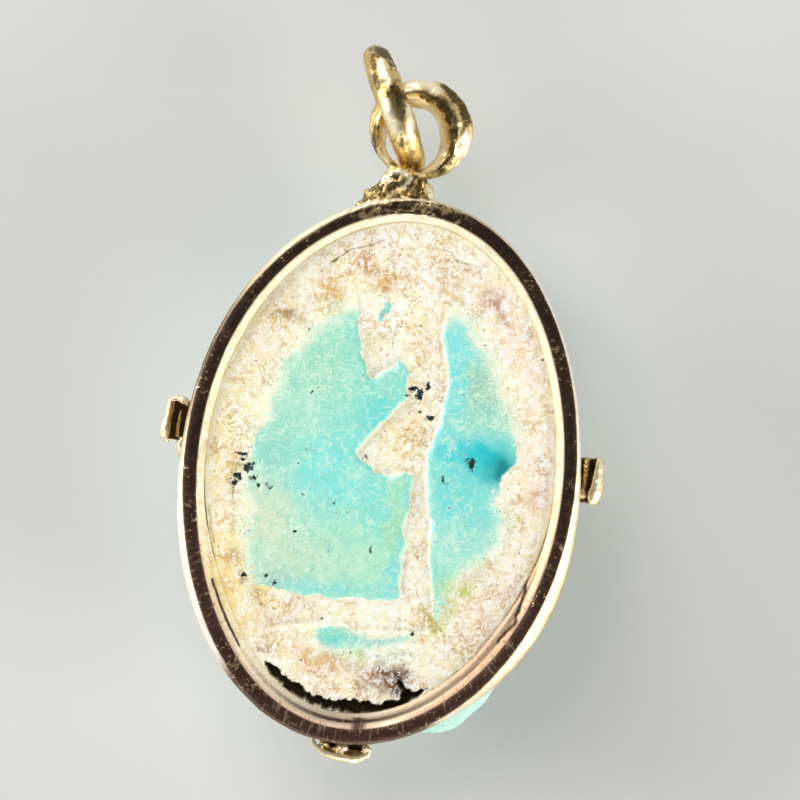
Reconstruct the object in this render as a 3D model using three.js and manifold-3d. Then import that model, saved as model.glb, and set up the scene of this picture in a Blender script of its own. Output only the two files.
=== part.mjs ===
// A carved scarab in a gold pendant mount, lying on the beetle's back with the seal face up.
// Millimetres, +Z up, +Y toward the hanging loop, origin in the flat spot under the beetle's back.
import * as THREE from 'three';
import { mergeVertices } from 'three/addons/utils/BufferGeometryUtils.js';
import Module from 'manifold-3d';

const wasm = await Module();
wasm.setup();

// The small play that keeps neighbouring pieces apart.
const PLAY = 0.03;

// Gold band around the seal face: oval, widths and heights.
const BAND_HALF_WIDTH = 6.48;
const BAND_HALF_LENGTH = 9.0;
const BAND_TOP_WIDTH = 0.45;
const LIP_WIDTH = 0.17;
const LIP_EXTRA_AT_FOOT = 0.24;
const WALL_LEAN = 0.08;
const WALL_LEAN_LOWER_RIGHT = 0.3;
const WALL_LEAN_LOWER_LEFT = 0.2;
const BAND_TOP = 7.2;
const BAND_HEIGHT = 1.9;
const BAND_BOTTOM = BAND_TOP - BAND_HEIGHT;
const LIP_TOP = BAND_TOP - 0.2;
const BAND_STEPS = 72;

// The hand-made oval is a little out of true: it swells toward two opposite corners.
const OVAL_SKEW = 0.08;
const OVAL_CORNERS = 0.06;

// Seal face and the device sunk into it.
const FACE_TOP = LIP_TOP - 0.05;
const FACE_EDGE_DROP = 0.12;
const DEVICE_DEPTH = 0.24;
const BORDER_INSET = 0.95;
const BORDER_WIDTH = 0.16;
const BORDER_DEPTH = 0.08;

// Beetle's back: half sizes at its widest, where it is widest, and the flat spot it lies on.
const BACK_HALF_WIDTH = 6.2;
const BACK_HALF_LENGTH = 8.75;
const BACK_TOP = BAND_BOTTOM - 0.06;
const BACK_WIDEST = BAND_BOTTOM - 0.75;
const REST_SHIFT = 0.4;
const REST_SCALE = 0.27;
const AXIS_TURN = 5 * Math.PI / 180;
const GROOVE_RADIUS = 0.2;
const LEG_RADIUS = 0.58;
const LEG_SUNK = 0.32;

// Claws: strip thickness, the floor that joins them to the band, and how high their outside rises.
const CLAW_THICK = 0.24;
const CLAW_FLOOR = BAND_TOP - 1.15;
const CLAW_TOP = BAND_TOP - 0.45;
const CLAW_TIP = BAND_BOTTOM - 2.0;
const CLAW_PLAY = 0.06;

// Hanging loop: outer oval, the hole that lies a little off its centre, height of its middle.
const LOOP_CENTRE = [-0.04, BAND_HALF_LENGTH + 2.45];
const LOOP_HALF = [1.74, 1.68];
const HOLE_CENTRE = [-0.24, BAND_HALF_LENGTH + 2.1];
const HOLE_HALF = [0.9, 1.05];
const LOOP_LEVEL = BAND_TOP - 1.3;
const LOOP_HALF_HEIGHT = 0.46;
const SOLDER_CENTRE = [-0.55, BAND_HALF_LENGTH + 0.3];
const SOLDER_HALF = [1.55, 0.85];

// Jump ring: hangs on the loop's upper left side in an upright plane.
const RING_MIDDLE_RADIUS = 1.8;
const RING_WIRE_RADIUS = 0.48;
const RING_AT = [-1.0, BAND_HALF_LENGTH + 3.06];
const RING_TURN = 26.5 * Math.PI / 180;

function toSolid(geometry) {
  const plain = new THREE.BufferGeometry();
  plain.setAttribute('position', geometry.getAttribute('position'));
  if (geometry.index) plain.setIndex(geometry.index);
  const merged = mergeVertices(plain, 1e-4);
  const mesh = new wasm.Mesh({
    numProp: 3,
    vertProperties: new Float32Array(merged.getAttribute('position').array),
    triVerts: new Uint32Array(merged.index.array),
  });
  return new wasm.Manifold(mesh);
}

function toGeometry(solid) {
  const mesh = solid.getMesh();
  const geometry = new THREE.BufferGeometry();
  geometry.setAttribute('position', new THREE.BufferAttribute(Float32Array.from(mesh.vertProperties), 3));
  geometry.setIndex(new THREE.BufferAttribute(Uint32Array.from(mesh.triVerts), 1));
  return geometry;
}

// Skins a stack of rings with the same number of points and closes both ends.
function loft(rings) {
  const count = rings[0].length;
  const points = rings.flat(2);
  const faces = [];
  for (let r = 0; r + 1 < rings.length; r++) {
    for (let i = 0; i < count; i++) {
      const a = r * count + i;
      const b = r * count + (i + 1) % count;
      faces.push(a, b, b + count, a, b + count, a + count);
    }
  }
  const middle = (ring) => [0, 1, 2].map((k) => ring.reduce((sum, p) => sum + p[k], 0) / count);
  const low = points.length / 3;
  points.push(...middle(rings[0]), ...middle(rings[rings.length - 1]));
  const last = (rings.length - 1) * count;
  for (let i = 0; i < count; i++) {
    const j = (i + 1) % count;
    faces.push(low, j, i, low + 1, last + i, last + j);
  }
  return indexed(points, faces);
}

// Joins sections that follow each other around a closed path.
function closedSweep(sections) {
  const turns = sections.length;
  const count = sections[0].length;
  const faces = [];
  for (let s = 0; s < turns; s++) {
    for (let i = 0; i < count; i++) {
      const j = (i + 1) % count;
      const t = (s + 1) % turns;
      faces.push(s * count + i, s * count + j, t * count + j, s * count + i, t * count + j, t * count + i);
    }
  }
  return indexed(sections.flat(2), faces);
}

// Makes a mesh of points and triangles, turned over where it encloses a negative volume.
function indexed(points, faces) {
  const at = (n) => new THREE.Vector3(points[3 * n], points[3 * n + 1], points[3 * n + 2]);
  let volume = 0;
  for (let f = 0; f < faces.length; f += 3) {
    volume += at(faces[f]).dot(at(faces[f + 1]).cross(at(faces[f + 2])));
  }
  const geometry = new THREE.BufferGeometry();
  geometry.setAttribute('position', new THREE.BufferAttribute(new Float32Array(points), 3));
  geometry.setIndex(volume < 0 ? [...faces].reverse() : faces);
  return geometry;
}

function smooth(low, high, value) {
  const t = Math.min(1, Math.max(0, (value - low) / (high - low)));
  return t * t * (3 - 2 * t);
}

// A point of the band's oval, moved outward by a distance.
function bandPoint(angle, out) {
  const normal = [Math.cos(angle) / BAND_HALF_WIDTH, Math.sin(angle) / BAND_HALF_LENGTH];
  const length = Math.hypot(...normal);
  const uneven = OVAL_SKEW * Math.sin(2 * angle) - OVAL_CORNERS * Math.sin(4 * angle);
  return [
    BAND_HALF_WIDTH * Math.cos(angle) + (out + uneven) * normal[0] / length,
    BAND_HALF_LENGTH * Math.sin(angle) + (out + uneven) * normal[1] / length,
  ];
}

// How much a place on the oval belongs to the lower end, where lip and wall are wider.
function lowerEnd(angle) {
  return smooth(0, 0.6, -Math.sin(angle));
}

// How far the outer wall leans out at its foot; it leans most at the lower right and lower left.
function wallLean(angle) {
  const right = WALL_LEAN_LOWER_RIGHT * hump(angle, -28, 26);
  const left = WALL_LEAN_LOWER_LEFT * hump(angle, -150, 28);
  return WALL_LEAN + right + left;
}

// A smooth hump around a direction in degrees.
function hump(angle, at, width) {
  const off = angle - at * Math.PI / 180;
  const turned = Math.atan2(Math.sin(off), Math.cos(off)) * 180 / Math.PI;
  return Math.exp(-((turned / width) ** 2));
}

function lipInset(angle) {
  return BAND_TOP_WIDTH + LIP_WIDTH + LIP_EXTRA_AT_FOOT * lowerEnd(angle);
}

function bezelFrame() {
  const sections = [];
  for (let s = 0; s < BAND_STEPS; s++) {
    const angle = 2 * Math.PI * s / BAND_STEPS;
    const lean = wallLean(angle);
    const inner = -lipInset(angle);
    const profile = [
      [lean, BAND_BOTTOM],
      [lean, BAND_TOP - 0.7],
      [0, BAND_TOP - 0.08],
      [-BAND_TOP_WIDTH / 2, BAND_TOP],
      [-BAND_TOP_WIDTH, BAND_TOP - 0.06],
      [inner, LIP_TOP],
      [inner, BAND_BOTTOM],
    ];
    sections.push(profile.map(([out, z]) => [...bandPoint(angle, out), z]));
  }
  return toSolid(closedSweep(sections));
}

// Outline of the beetle's back, with the two corners where its hind legs end.
function backRadius(angle) {
  const head = 0.35 * smooth(0.75, 1, Math.sin(angle - AXIS_TURN));
  return plainOval(angle) + 0.9 * hump(angle, -66, 11) + 0.35 * hump(angle, -103, 11) - head;
}

// Height of the back against the share of its outline, from the flat spot up to the band.
const BACK_PROFILE = [
  [REST_SCALE, 0],
  [0.38, 0.026 * BACK_WIDEST],
  [0.5, 0.084 * BACK_WIDEST],
  [0.62, 0.171 * BACK_WIDEST],
  [0.73, 0.286 * BACK_WIDEST],
  [0.83, 0.429 * BACK_WIDEST],
  [0.905, 0.593 * BACK_WIDEST],
  [0.955, 0.747 * BACK_WIDEST],
  [0.985, 0.879 * BACK_WIDEST],
  [1, BACK_WIDEST],
  [0.985, (BACK_WIDEST + BACK_TOP) / 2],
  [0.94, BACK_TOP],
];

// The back's middle moves toward the head as it goes down to the flat spot.
function backShift(z) {
  return REST_SHIFT * (1 - smooth(0, BACK_WIDEST, z));
}

function plainOval(angle) {
  return 1 / Math.hypot(Math.cos(angle) / BACK_HALF_WIDTH, Math.sin(angle) / BACK_HALF_LENGTH);
}

// Radius of the back at a share of its outline. Head and corners show only near its widest.
function radiusAt(share, angle) {
  return share * (plainOval(angle) + smooth(0.75, 1, share) * (backRadius(angle) - plainOval(angle)));
}

function backRing(share, z, steps) {
  return Array.from({ length: steps }, (_, i) => {
    const angle = 2 * Math.PI * i / steps;
    const radius = radiusAt(share, angle);
    return [radius * Math.cos(angle), radius * Math.sin(angle) + backShift(z), z];
  });
}

// Height of the back under a place, read from the profile.
function backHeight(x, y) {
  let below = 0;
  let above = BACK_WIDEST;
  for (let n = 0; n < 40; n++) {
    const z = (below + above) / 2;
    if (insideBack(x, y, z)) above = z;
    else below = z;
  }
  return (below + above) / 2;
}

function insideBack(x, y, z) {
  const angle = Math.atan2(y - backShift(z), x);
  return Math.hypot(x, y - backShift(z)) < radiusAt(profileShare(z), angle);
}

function profileShare(z) {
  for (let i = 0; i + 1 < BACK_PROFILE.length; i++) {
    const [s0, z0] = BACK_PROFILE[i];
    const [s1, z1] = BACK_PROFILE[i + 1];
    if (z <= z1) return s0 + (s1 - s0) * (z - z0) / (z1 - z0);
  }
  return 1;
}

// A round bar along points on the back's own axes, laid on its surface.
function barOnBack(places, radius, steps, inset = 0) {
  const cos = Math.cos(AXIS_TURN);
  const sin = Math.sin(AXIS_TURN);
  const path = places.map(([x, y]) => {
    const px = x * cos - y * sin;
    const py = x * sin + y * cos;
    const shrink = 1 - inset / Math.hypot(px, py);
    return new THREE.Vector3(px * shrink, py * shrink, backHeight(px, py) + inset / 2);
  });
  const shape = new THREE.Shape();
  shape.absarc(0, 0, radius, 0, 2 * Math.PI, false);
  const curve = new THREE.CatmullRomCurve3(path, false, 'centripetal');
  return toSolid(new THREE.ExtrudeGeometry(shape, { steps, extrudePath: curve, curveSegments: 4 }));
}

// A shallow prism cut down from the seal face.
function sunk(outline, depth) {
  const shape = new THREE.Shape(outline.map(([x, y]) => new THREE.Vector2(x, y)));
  const prism = new THREE.ExtrudeGeometry(shape, { depth: depth + 1, bevelEnabled: false });
  prism.translate(0, 0, FACE_TOP - depth);
  return toSolid(prism);
}

function facePoint(angle, inset) {
  return bandPoint(angle, -(lipInset(angle) + PLAY + inset));
}

function sealPlate() {
  const steps = 64;
  const ring = (inset, z) => Array.from({ length: steps }, (_, i) => {
    return [...facePoint(2 * Math.PI * i / steps, inset), z];
  });
  return toSolid(loft([
    ring(0, BACK_TOP - 0.3),
    ring(0, FACE_TOP - FACE_EDGE_DROP - 0.1),
    ring(0.08, FACE_TOP - FACE_EDGE_DROP),
    ring(0.6, FACE_TOP),
  ]));
}

// The device: a figure with a raised arm and a pointed kilt beside a staff, on a ground line.
function device() {
  const body = [
    [-0.2, 6.2], [1.4, 6.3], [1.5, 4.6], [1.9, 3.3],
    [1.8, 1.8], [0.6, 2.5], [0.55, 3.3], [-0.1, 4.3],
  ];
  const arm = [[-1.4, 5.7], [-0.2, 5.7], [-0.1, 4.4], [0.1, 3.5], [-0.7, 3.0], [-1.1, 3.8]];
  const kilt = [[0.7, 2.6], [-0.9, 0.5], [0.3, -0.2], [1.1, 0], [1.55, 0], [1.8, 1.9]];
  const staff = [[1.05, 0.1], [1.6, 0.1], [2.1, -3.3], [2.4, -4.3], [1.1, -4.3], [0.98, -1.8]];
  const ground = [[-3.7, -4.3], [2.2, -4.0], [2.8, -5.05], [-0.7, -5.2], [-3.1, -5.6]];
  return wasm.Manifold.union([body, arm, kilt, staff, ground].map((outline) => {
    const turn = THREE.ShapeUtils.isClockWise(outline.map(([x, y]) => ({ x, y })));
    return sunk(turn ? [...outline].reverse() : outline, DEVICE_DEPTH);
  }));
}

function borderGroove() {
  const sections = [];
  for (let s = 0; s < 48; s++) {
    const angle = 2 * Math.PI * s / 48;
    sections.push([
      [...facePoint(angle, BORDER_INSET - BORDER_WIDTH / 2), FACE_TOP + 0.5],
      [...facePoint(angle, BORDER_INSET + BORDER_WIDTH / 2), FACE_TOP + 0.5],
      [...facePoint(angle, BORDER_INSET), FACE_TOP - BORDER_DEPTH],
    ]);
  }
  return toSolid(closedSweep(sections));
}

// The lost sliver along the lower edge of the face.
function lowerBreak() {
  const left = [[-3.2, -6.9], [-2.7, -6.95], [-1.6, -7.5]];
  const right = [[-0.2, -7.78], [1.2, -7.62], [2.0, -7.2], [2.6, -7.3]];
  const beyond = -BAND_HALF_LENGTH - 0.5;
  return sunk([...left, ...right, [3.4, beyond], [-4.0, beyond]], 0.9);
}

function scarab() {
  const rings = BACK_PROFILE.map(([share, z]) => backRing(share, z, 64));
  let stone = toSolid(loft(rings));
  for (const side of [-1, 1]) {
    const legs = [
      [[3.3, 6.9], [4.5, 5.6], [5.15, 4.3], [5.4, 3.4]],
      [[5.9, -1.5], [5.65, -2.5], [5.15, -3.5]],
      [[5.35, -4.3], [4.6, -5.8], [3.3, -7.2]],
    ];
    for (const leg of legs) {
      stone = stone.add(barOnBack(leg.map(([x, y]) => [side * x, y]), LEG_RADIUS, 10, LEG_SUNK));
    }
  }
  const across = (y, half, bow) => [-1, -0.6, -0.2, 0.2, 0.6, 1].map((t) => [half * t, y + bow * t * t]);
  // The line between the wing cases is worn away where the back rests.
  const grooves = [
    barOnBack(across(2.9, 5.3, -0.3), GROOVE_RADIUS, 14),
    barOnBack(across(6.3, 3.4, 0.35), GROOVE_RADIUS, 9),
    barOnBack([[0, 3.0], [0, 1.8], [0, 0.7]], GROOVE_RADIUS, 4),
    barOnBack([[0, -0.7], [0, -3], [0, -5], [0, -7.3]], GROOVE_RADIUS, 12),
    barOnBack([[-4.6, 2.6], [-3.9, 1.6]], GROOVE_RADIUS, 2),
    barOnBack([[4.6, 2.6], [3.9, 1.6]], GROOVE_RADIUS, 2),
    barOnBack([[-1.3, 7.0], [-1.6, 7.7]], GROOVE_RADIUS, 2),
    barOnBack([[1.3, 7.0], [1.6, 7.7]], GROOVE_RADIUS, 2),
  ];
  for (const groove of grooves) stone = stone.subtract(groove);
  return stone.add(sealPlate()).subtract(device()).subtract(borderGroove()).subtract(lowerBreak());
}

// How far the stone's flank lies from a point on the band's oval, measured outward.
function flankFrom(foot, out, z) {
  let inside = -BACK_HALF_WIDTH / 2;
  let outside = BACK_HALF_WIDTH / 2;
  for (let n = 0; n < 30; n++) {
    const middle = (inside + outside) / 2;
    if (insideBack(foot[0] + middle * out.x, foot[1] + middle * out.y, z)) inside = middle;
    else outside = middle;
  }
  return outside;
}

// A strip that stands off the band, rises beside it and bends in along the beetle's flank.
// Distances in its profile run outward from the band's oval.
function claw(angleDegrees, width, reach) {
  const angle = angleDegrees * Math.PI / 180;
  const foot = bandPoint(angle, 0);
  const ahead = bandPoint(angle, 1);
  const out = new THREE.Vector3(ahead[0] - foot[0], ahead[1] - foot[1], 0);
  const up = new THREE.Vector3(0, 0, 1);
  const start = wallLean(angle) + PLAY;
  const shoulder = (CLAW_TIP + BAND_BOTTOM) / 2;
  const middle = flankFrom(foot, out, shoulder) + CLAW_PLAY;
  const tip = flankFrom(foot, out, CLAW_TIP) + CLAW_PLAY;
  const profile = [
    [start, CLAW_FLOOR - CLAW_THICK],
    [reach - CLAW_THICK, CLAW_FLOOR - CLAW_THICK],
    [middle, shoulder],
    [tip, CLAW_TIP],
    [tip + CLAW_THICK / 2, CLAW_TIP - 0.75 * CLAW_THICK],
    [middle + 1.3 * CLAW_THICK, shoulder - CLAW_THICK],
    [reach, BAND_BOTTOM - 0.2],
    [reach, CLAW_TOP],
    [reach - CLAW_THICK, CLAW_TOP],
    [reach - CLAW_THICK, CLAW_FLOOR],
    [start, CLAW_FLOOR],
  ];
  const shape = new THREE.Shape(profile.map(([x, y]) => new THREE.Vector2(x, y)));
  const strip = new THREE.ExtrudeGeometry(shape, { depth: width, bevelEnabled: false });
  strip.translate(0, 0, -width / 2);
  const place = new THREE.Matrix4().makeBasis(out, up, new THREE.Vector3().crossVectors(out, up));
  place.setPosition(foot[0], foot[1], 0);
  strip.applyMatrix4(place);
  return toSolid(strip);
}

function ovalPoint(centre, half, angle) {
  return [centre[0] + half[0] * Math.cos(angle), centre[1] + half[1] * Math.sin(angle)];
}

function hangingLoop() {
  const sections = [];
  for (let s = 0; s < 32; s++) {
    const angle = 2 * Math.PI * s / 32;
    const outer = ovalPoint(LOOP_CENTRE, LOOP_HALF, angle);
    const inner = ovalPoint(HOLE_CENTRE, HOLE_HALF, angle);
    const section = [];
    for (let i = 0; i < 10; i++) {
      const turn = 2 * Math.PI * i / 10;
      const t = (1 + Math.cos(turn)) / 2;
      section.push([
        inner[0] + (outer[0] - inner[0]) * t,
        inner[1] + (outer[1] - inner[1]) * t,
        LOOP_LEVEL + LOOP_HALF_HEIGHT * Math.sin(turn),
      ]);
    }
    sections.push(section);
  }
  const loop = toSolid(closedSweep(sections));
  const mound = ([share, rise]) => Array.from({ length: 16 }, (_, i) => {
    const half = [SOLDER_HALF[0] * share, SOLDER_HALF[1] * share];
    return [...ovalPoint(SOLDER_CENTRE, half, 2 * Math.PI * i / 16), LOOP_LEVEL + rise];
  });
  const heights = [[0.8, -0.55], [1, -0.2], [1, 0.3], [0.75, 0.75], [0.4, 0.95]];
  const solder = toSolid(loft(heights.map(mound)));
  return loop.add(solder.subtract(holeCore())).subtract(bandCore());
}

function holeCore() {
  const ring = (z) => Array.from({ length: 24 }, (_, i) => {
    return [...ovalPoint(HOLE_CENTRE, HOLE_HALF, 2 * Math.PI * i / 24), z];
  });
  return toSolid(loft([ring(BAND_BOTTOM - 1), ring(BAND_TOP + 1)]));
}

// Everything within the band's outer wall, taken out of the solder that lies against it.
function bandCore() {
  const ring = (z, extra) => Array.from({ length: BAND_STEPS }, (_, i) => {
    return [...bandPoint(2 * Math.PI * i / BAND_STEPS, WALL_LEAN + PLAY + extra), z];
  });
  const shoulder = BAND_TOP - 0.08;
  const wall = [ring(BAND_BOTTOM - 1, 0), ring(BAND_TOP - 0.7, 0)];
  return toSolid(loft([...wall, ring(shoulder, -WALL_LEAN), ring(BAND_TOP + 1, -WALL_LEAN)]));
}

function jumpRing() {
  const centre = LOOP_LEVEL + LOOP_HALF_HEIGHT - (RING_MIDDLE_RADIUS - RING_WIRE_RADIUS) + 2 * PLAY;
  const ring = new THREE.TorusGeometry(RING_MIDDLE_RADIUS, RING_WIRE_RADIUS, 10, 36);
  ring.rotateX(Math.PI / 2);
  ring.rotateZ(RING_TURN + Math.PI / 2);
  ring.translate(RING_AT[0], RING_AT[1], centre);
  return toSolid(ring);
}

function node(name, solid, colour, roughness, metalness) {
  const material = new THREE.MeshStandardMaterial({ color: colour, roughness, metalness });
  const mesh = new THREE.Mesh(toGeometry(solid), material);
  mesh.name = name;
  return mesh;
}

const GOLD = 0xe3b45c;
const group = new THREE.Group();
group.add(
  node('scarab', scarab(), 0x9fd8c4, 0.55, 0),
  node('bezel_frame', bezelFrame(), GOLD, 0.25, 1),
  node('claw_left', claw(173.4, 1.6, 0.9), GOLD, 0.3, 1),
  node('claw_right', claw(3.2, 1.65, 0.98), GOLD, 0.3, 1),
  node('claw_bottom', claw(269.4, 2.0, 0.68), GOLD, 0.3, 1),
  node('hanging_loop', hangingLoop(), GOLD, 0.3, 1),
  node('jump_ring', jumpRing(), GOLD, 0.3, 1),
);

export default group;
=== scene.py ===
import math

import bpy
import numpy as np
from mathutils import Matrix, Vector, noise


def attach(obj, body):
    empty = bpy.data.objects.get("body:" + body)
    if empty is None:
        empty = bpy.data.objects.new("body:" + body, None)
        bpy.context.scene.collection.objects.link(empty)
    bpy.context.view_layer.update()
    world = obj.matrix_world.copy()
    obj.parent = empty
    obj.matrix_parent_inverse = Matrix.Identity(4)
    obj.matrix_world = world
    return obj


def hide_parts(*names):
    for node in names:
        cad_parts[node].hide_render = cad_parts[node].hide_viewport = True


# A carved scarab in a gold pendant mount, seen from straight above with its seal face up.
# Sizes are millimetres in the part's own frame and become metres where a mesh is made.

MM = 0.001

# The gold band's oval, as the part has it.
BAND_HALF_WIDTH = 6.48
BAND_HALF_LENGTH = 9.0
OVAL_SKEW = 0.08
OVAL_CORNERS = 0.06
BAND_TOP_WIDTH = 0.45
LIP_WIDTH = 0.17
LIP_EXTRA_AT_FOOT = 0.24
BAND_TOP = 7.2
BAND_BOTTOM = 5.3
FACE_TOP = 6.95
PLAY = 0.03

# The beetle's back.
BACK_HALF_WIDTH = 6.2
BACK_HALF_LENGTH = 8.75
BACK_TOP = BAND_BOTTOM - 0.06
BACK_WIDEST = BAND_BOTTOM - 0.75
REST_SHIFT = 0.4
AXIS_TURN = math.radians(5)
# Shares of its full width with the heights where it has them, from the flat spot upward.
BACK_PROFILE = [
    (0.0, 0.0), (0.27, 0.0), (0.38, 0.12), (0.5, 0.38), (0.62, 0.78), (0.73, 1.3), (0.83, 1.95),
    (0.905, 2.7), (0.955, 3.4), (0.985, 4.0), (1.0, BACK_WIDEST), (0.985, 4.9), (0.94, BACK_TOP),
]

# The stone is made of two sheets. This share of each is what shows, and the rest is the wall
# behind the band. The middle reach turns a share of the way out into rough millimetres.
FACE_SHARE = 0.975
BACK_SHARE = 0.97
MIDDLE_REACH = 7
STONE_GRID = (190, 240)

# Fixed loop and jump ring.
LOOP_CENTRE = (-0.04, 11.45)
LOOP_HALF = (1.74, 1.68)
HOLE_CENTRE = (-0.24, 11.1)
HOLE_HALF = (0.9, 1.05)
LOOP_LEVEL = BAND_TOP - 1.3
LOOP_HALF_HEIGHT = 0.46
MOUND_AT = (-0.5, 9.3, 6.1)
RING_RADIUS = 1.8
RING_WIRE = 0.48
RING_AT = (-1.0, 12.06)
RING_TURN = math.radians(26.5)
RING_LEVEL = 5.1

# Claws.
CLAW_THICK = 0.24
CLAW_FLOOR = 6.05
CLAW_TIP = 3.3
CLAW_GAP = 0.06

# The picture shows the object turned clockwise by this much. Its scale is millimetres a pixel
# and holds at the picture's level; the camera's height is measured from there.
PICTURE_TURN = math.radians(7)
PICTURE_SCALE = 0.033
PICTURE_SIDE = 800
PICTURE_CENTRE = (0.361, 2.42)
CAMERA_HEIGHT = 120.0
PICTURE_LEVEL = 7
SENSOR_WIDTH = 36

# A distance that stands for no line at all near a place.
FAR = 9.0


# Shader sums

class Wire:
    """A shader socket that can stand in ordinary sums."""

    def __init__(self, finish, socket):
        self.finish = finish
        self.socket = socket

    def __add__(self, other):
        return self.finish.math("ADD", self, other)

    __radd__ = __add__

    def __sub__(self, other):
        return self.finish.math("SUBTRACT", self, other)

    def __rsub__(self, other):
        return self.finish.math("SUBTRACT", other, self)

    def __mul__(self, other):
        return self.finish.math("MULTIPLY", self, other)

    __rmul__ = __mul__

    def highest(self, other):
        return self.finish.math("MAXIMUM", self, other)

    def lowest(self, other):
        return self.finish.math("MINIMUM", self, other)

    def apart(self, other):
        """How far the two values are apart."""
        return self.finish.node("ShaderNodeMath", {"operation": "ABSOLUTE"}, {0: self - other})

    def step(self, low, high):
        """Rises smoothly from 0 at low to 1 at high."""
        settings = {"interpolation_type": "SMOOTHSTEP"}
        sockets = {"Value": self, "From Min": low, "From Max": high}
        return self.finish.node("ShaderNodeMapRange", settings, sockets)


class Finish:
    """A material whose nodes are written as sums."""

    def __init__(self, name):
        self.material = bpy.data.materials.new(name)
        self.material.use_nodes = True
        self.tree = self.material.node_tree
        self.tree.nodes.clear()

    def node(self, kind, settings=None, sockets=None, output=0):
        """Adds a node: its settings are set first, then its sockets get values or links."""
        made = self.tree.nodes.new(kind)
        for key, value in (settings or {}).items():
            setattr(made, key, value)
        for key, value in (sockets or {}).items():
            socket = made.inputs[key]
            if isinstance(value, Wire):
                self.tree.links.new(value.socket, socket)
            else:
                socket.default_value = value
        return Wire(self, made.outputs[output])

    def math(self, operation, first, second):
        return self.node("ShaderNodeMath", {"operation": operation}, {0: first, 1: second})

    def place(self, scale=(1, 1, 1), turn=0.0):
        """The place on the piece, stretched and turned about the upright axis."""
        coordinates = self.node("ShaderNodeTexCoord", output="Object")
        sockets = {"Vector": coordinates, "Scale": scale, "Rotation": (0, 0, turn)}
        return self.node("ShaderNodeMapping", {}, sockets)

    def grain(self, size, detail=2.0, roughness=0.55, at=None, distortion=0.0):
        """Noise whose blotches are about size millimetres across."""
        return self.node("ShaderNodeTexNoise", {}, {
            "Vector": at or self.place(), "Scale": 1 / (size * MM), "Detail": detail,
            "Roughness": roughness, "Distortion": distortion,
        })

    def value(self, name):
        """A number kept on the mesh's points."""
        return self.node("ShaderNodeAttribute", {"attribute_name": name}, output="Fac")

    def tint(self, name):
        """A colour kept on the mesh's points."""
        return self.node("ShaderNodeAttribute", {"attribute_name": name}, output="Color")

    def mix(self, share, first, second, blend="MIX"):
        """Goes from the first colour to the second as share rises."""
        def colour(value):
            return value if isinstance(value, Wire) else (*value, 1)
        settings = {"data_type": "RGBA", "blend_type": blend}
        sockets = {0: share, 6: colour(first), 7: colour(second)}
        return self.node("ShaderNodeMix", settings, sockets, output=2)

    def times(self, first, second):
        """Two colours multiplied."""
        return self.mix(1.0, first, second, "MULTIPLY")

    def bump(self, height, depth, strength, under=None):
        """Relief from a height between 0 and 1, depth millimetres deep."""
        sockets = {"Height": height, "Distance": depth * MM, "Strength": strength}
        if under:
            sockets["Normal"] = under
        return self.node("ShaderNodeBump", {}, sockets)

    def surface(self, sockets):
        """Ends the material with its one shader."""
        shader = self.node("ShaderNodeBsdfPrincipled", {}, sockets)
        out = self.tree.nodes.new("ShaderNodeOutputMaterial")
        self.tree.links.new(shader.socket, out.inputs["Surface"])
        return self.material


# Small mesh helpers

def smooth_step(low, high, value):
    """0 at low and 1 at high, with a smooth rise between them."""
    t = np.clip((value - low) / (high - low), 0, 1)
    return t * t * (3 - 2 * t)


def hump(angle, at, width):
    """A smooth hump around a direction in degrees."""
    off = angle - math.radians(at)
    turned = np.degrees(np.arctan2(np.sin(off), np.cos(off)))
    return np.exp(-((turned / width) ** 2))


def roughness_at(points, size, seed=0.0, octaves=3):
    """Lumpy noise about size millimetres across, between about -1 and 1, one number a point."""
    shift = Vector((seed * 17.3, seed * 5.1, seed * 9.7))
    values = [
        noise.fractal(Vector(p) / size + shift, 1.0, 2.1, octaves)
        for p in points.tolist()
    ]
    return np.array(values)


def only(*pieces):
    """Selects these pieces alone, the first one active."""
    bpy.ops.object.select_all(action="DESELECT")
    for piece in pieces:
        piece.select_set(True)
    bpy.context.view_layer.objects.active = pieces[0]


def primitive(name, add, **settings):
    """Adds one of Blender's primitives and names it."""
    bpy.ops.object.select_all(action="DESELECT")
    add(**settings)
    piece = bpy.context.object
    piece.name = name
    return piece


def put_points(piece, points):
    """Sets a piece's points, given in millimetres."""
    piece.data.vertices.foreach_set("co", (points * MM).astype(np.float32).ravel())
    piece.data.update()


def points_of(piece):
    """A piece's points in millimetres."""
    flat = np.empty(len(piece.data.vertices) * 3)
    piece.data.vertices.foreach_get("co", flat)
    return flat.reshape(-1, 3) / MM


def unit_points(piece):
    """A primitive's points in the units it was added with."""
    return points_of(piece) * MM


def normals_of(piece):
    flat = np.empty(len(piece.data.vertices) * 3)
    piece.data.vertex_normals.foreach_get("vector", flat)
    return flat.reshape(-1, 3)


def push_out(piece, moved):
    """Moves each point outward by its own number of millimetres."""
    put_points(piece, points_of(piece) + normals_of(piece) * moved[:, None])


def rolled_sheet(name, columns, rows, place):
    """A grid whose place function gives a point for each share along and across it."""
    piece = primitive(name, bpy.ops.mesh.primitive_grid_add,
                      x_subdivisions=columns, y_subdivisions=rows, size=2)
    flat = (unit_points(piece) + 1) / 2
    put_points(piece, place(flat[:, 0], flat[:, 1]))
    return piece


def weld(piece, distance=0.002):
    """Merges points that meet and turns every face outward."""
    only(piece)
    bpy.ops.object.mode_set(mode="EDIT")
    bpy.ops.mesh.select_all(action="SELECT")
    bpy.ops.mesh.remove_doubles(threshold=distance * MM)
    bpy.ops.mesh.normals_make_consistent(inside=False)
    bpy.ops.object.mode_set(mode="OBJECT")


def joined(name, *pieces):
    """Makes one named piece of several."""
    only(*pieces)
    bpy.ops.object.join()
    pieces[0].name = name
    return pieces[0]


def finished(piece, node, material):
    """Shades a piece, gives it its finish and puts it in the frame in the node's stead."""
    only(piece)
    bpy.ops.object.shade_smooth()
    piece.data.materials.clear()
    piece.data.materials.append(material)
    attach(piece, "root")
    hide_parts(node)


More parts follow.
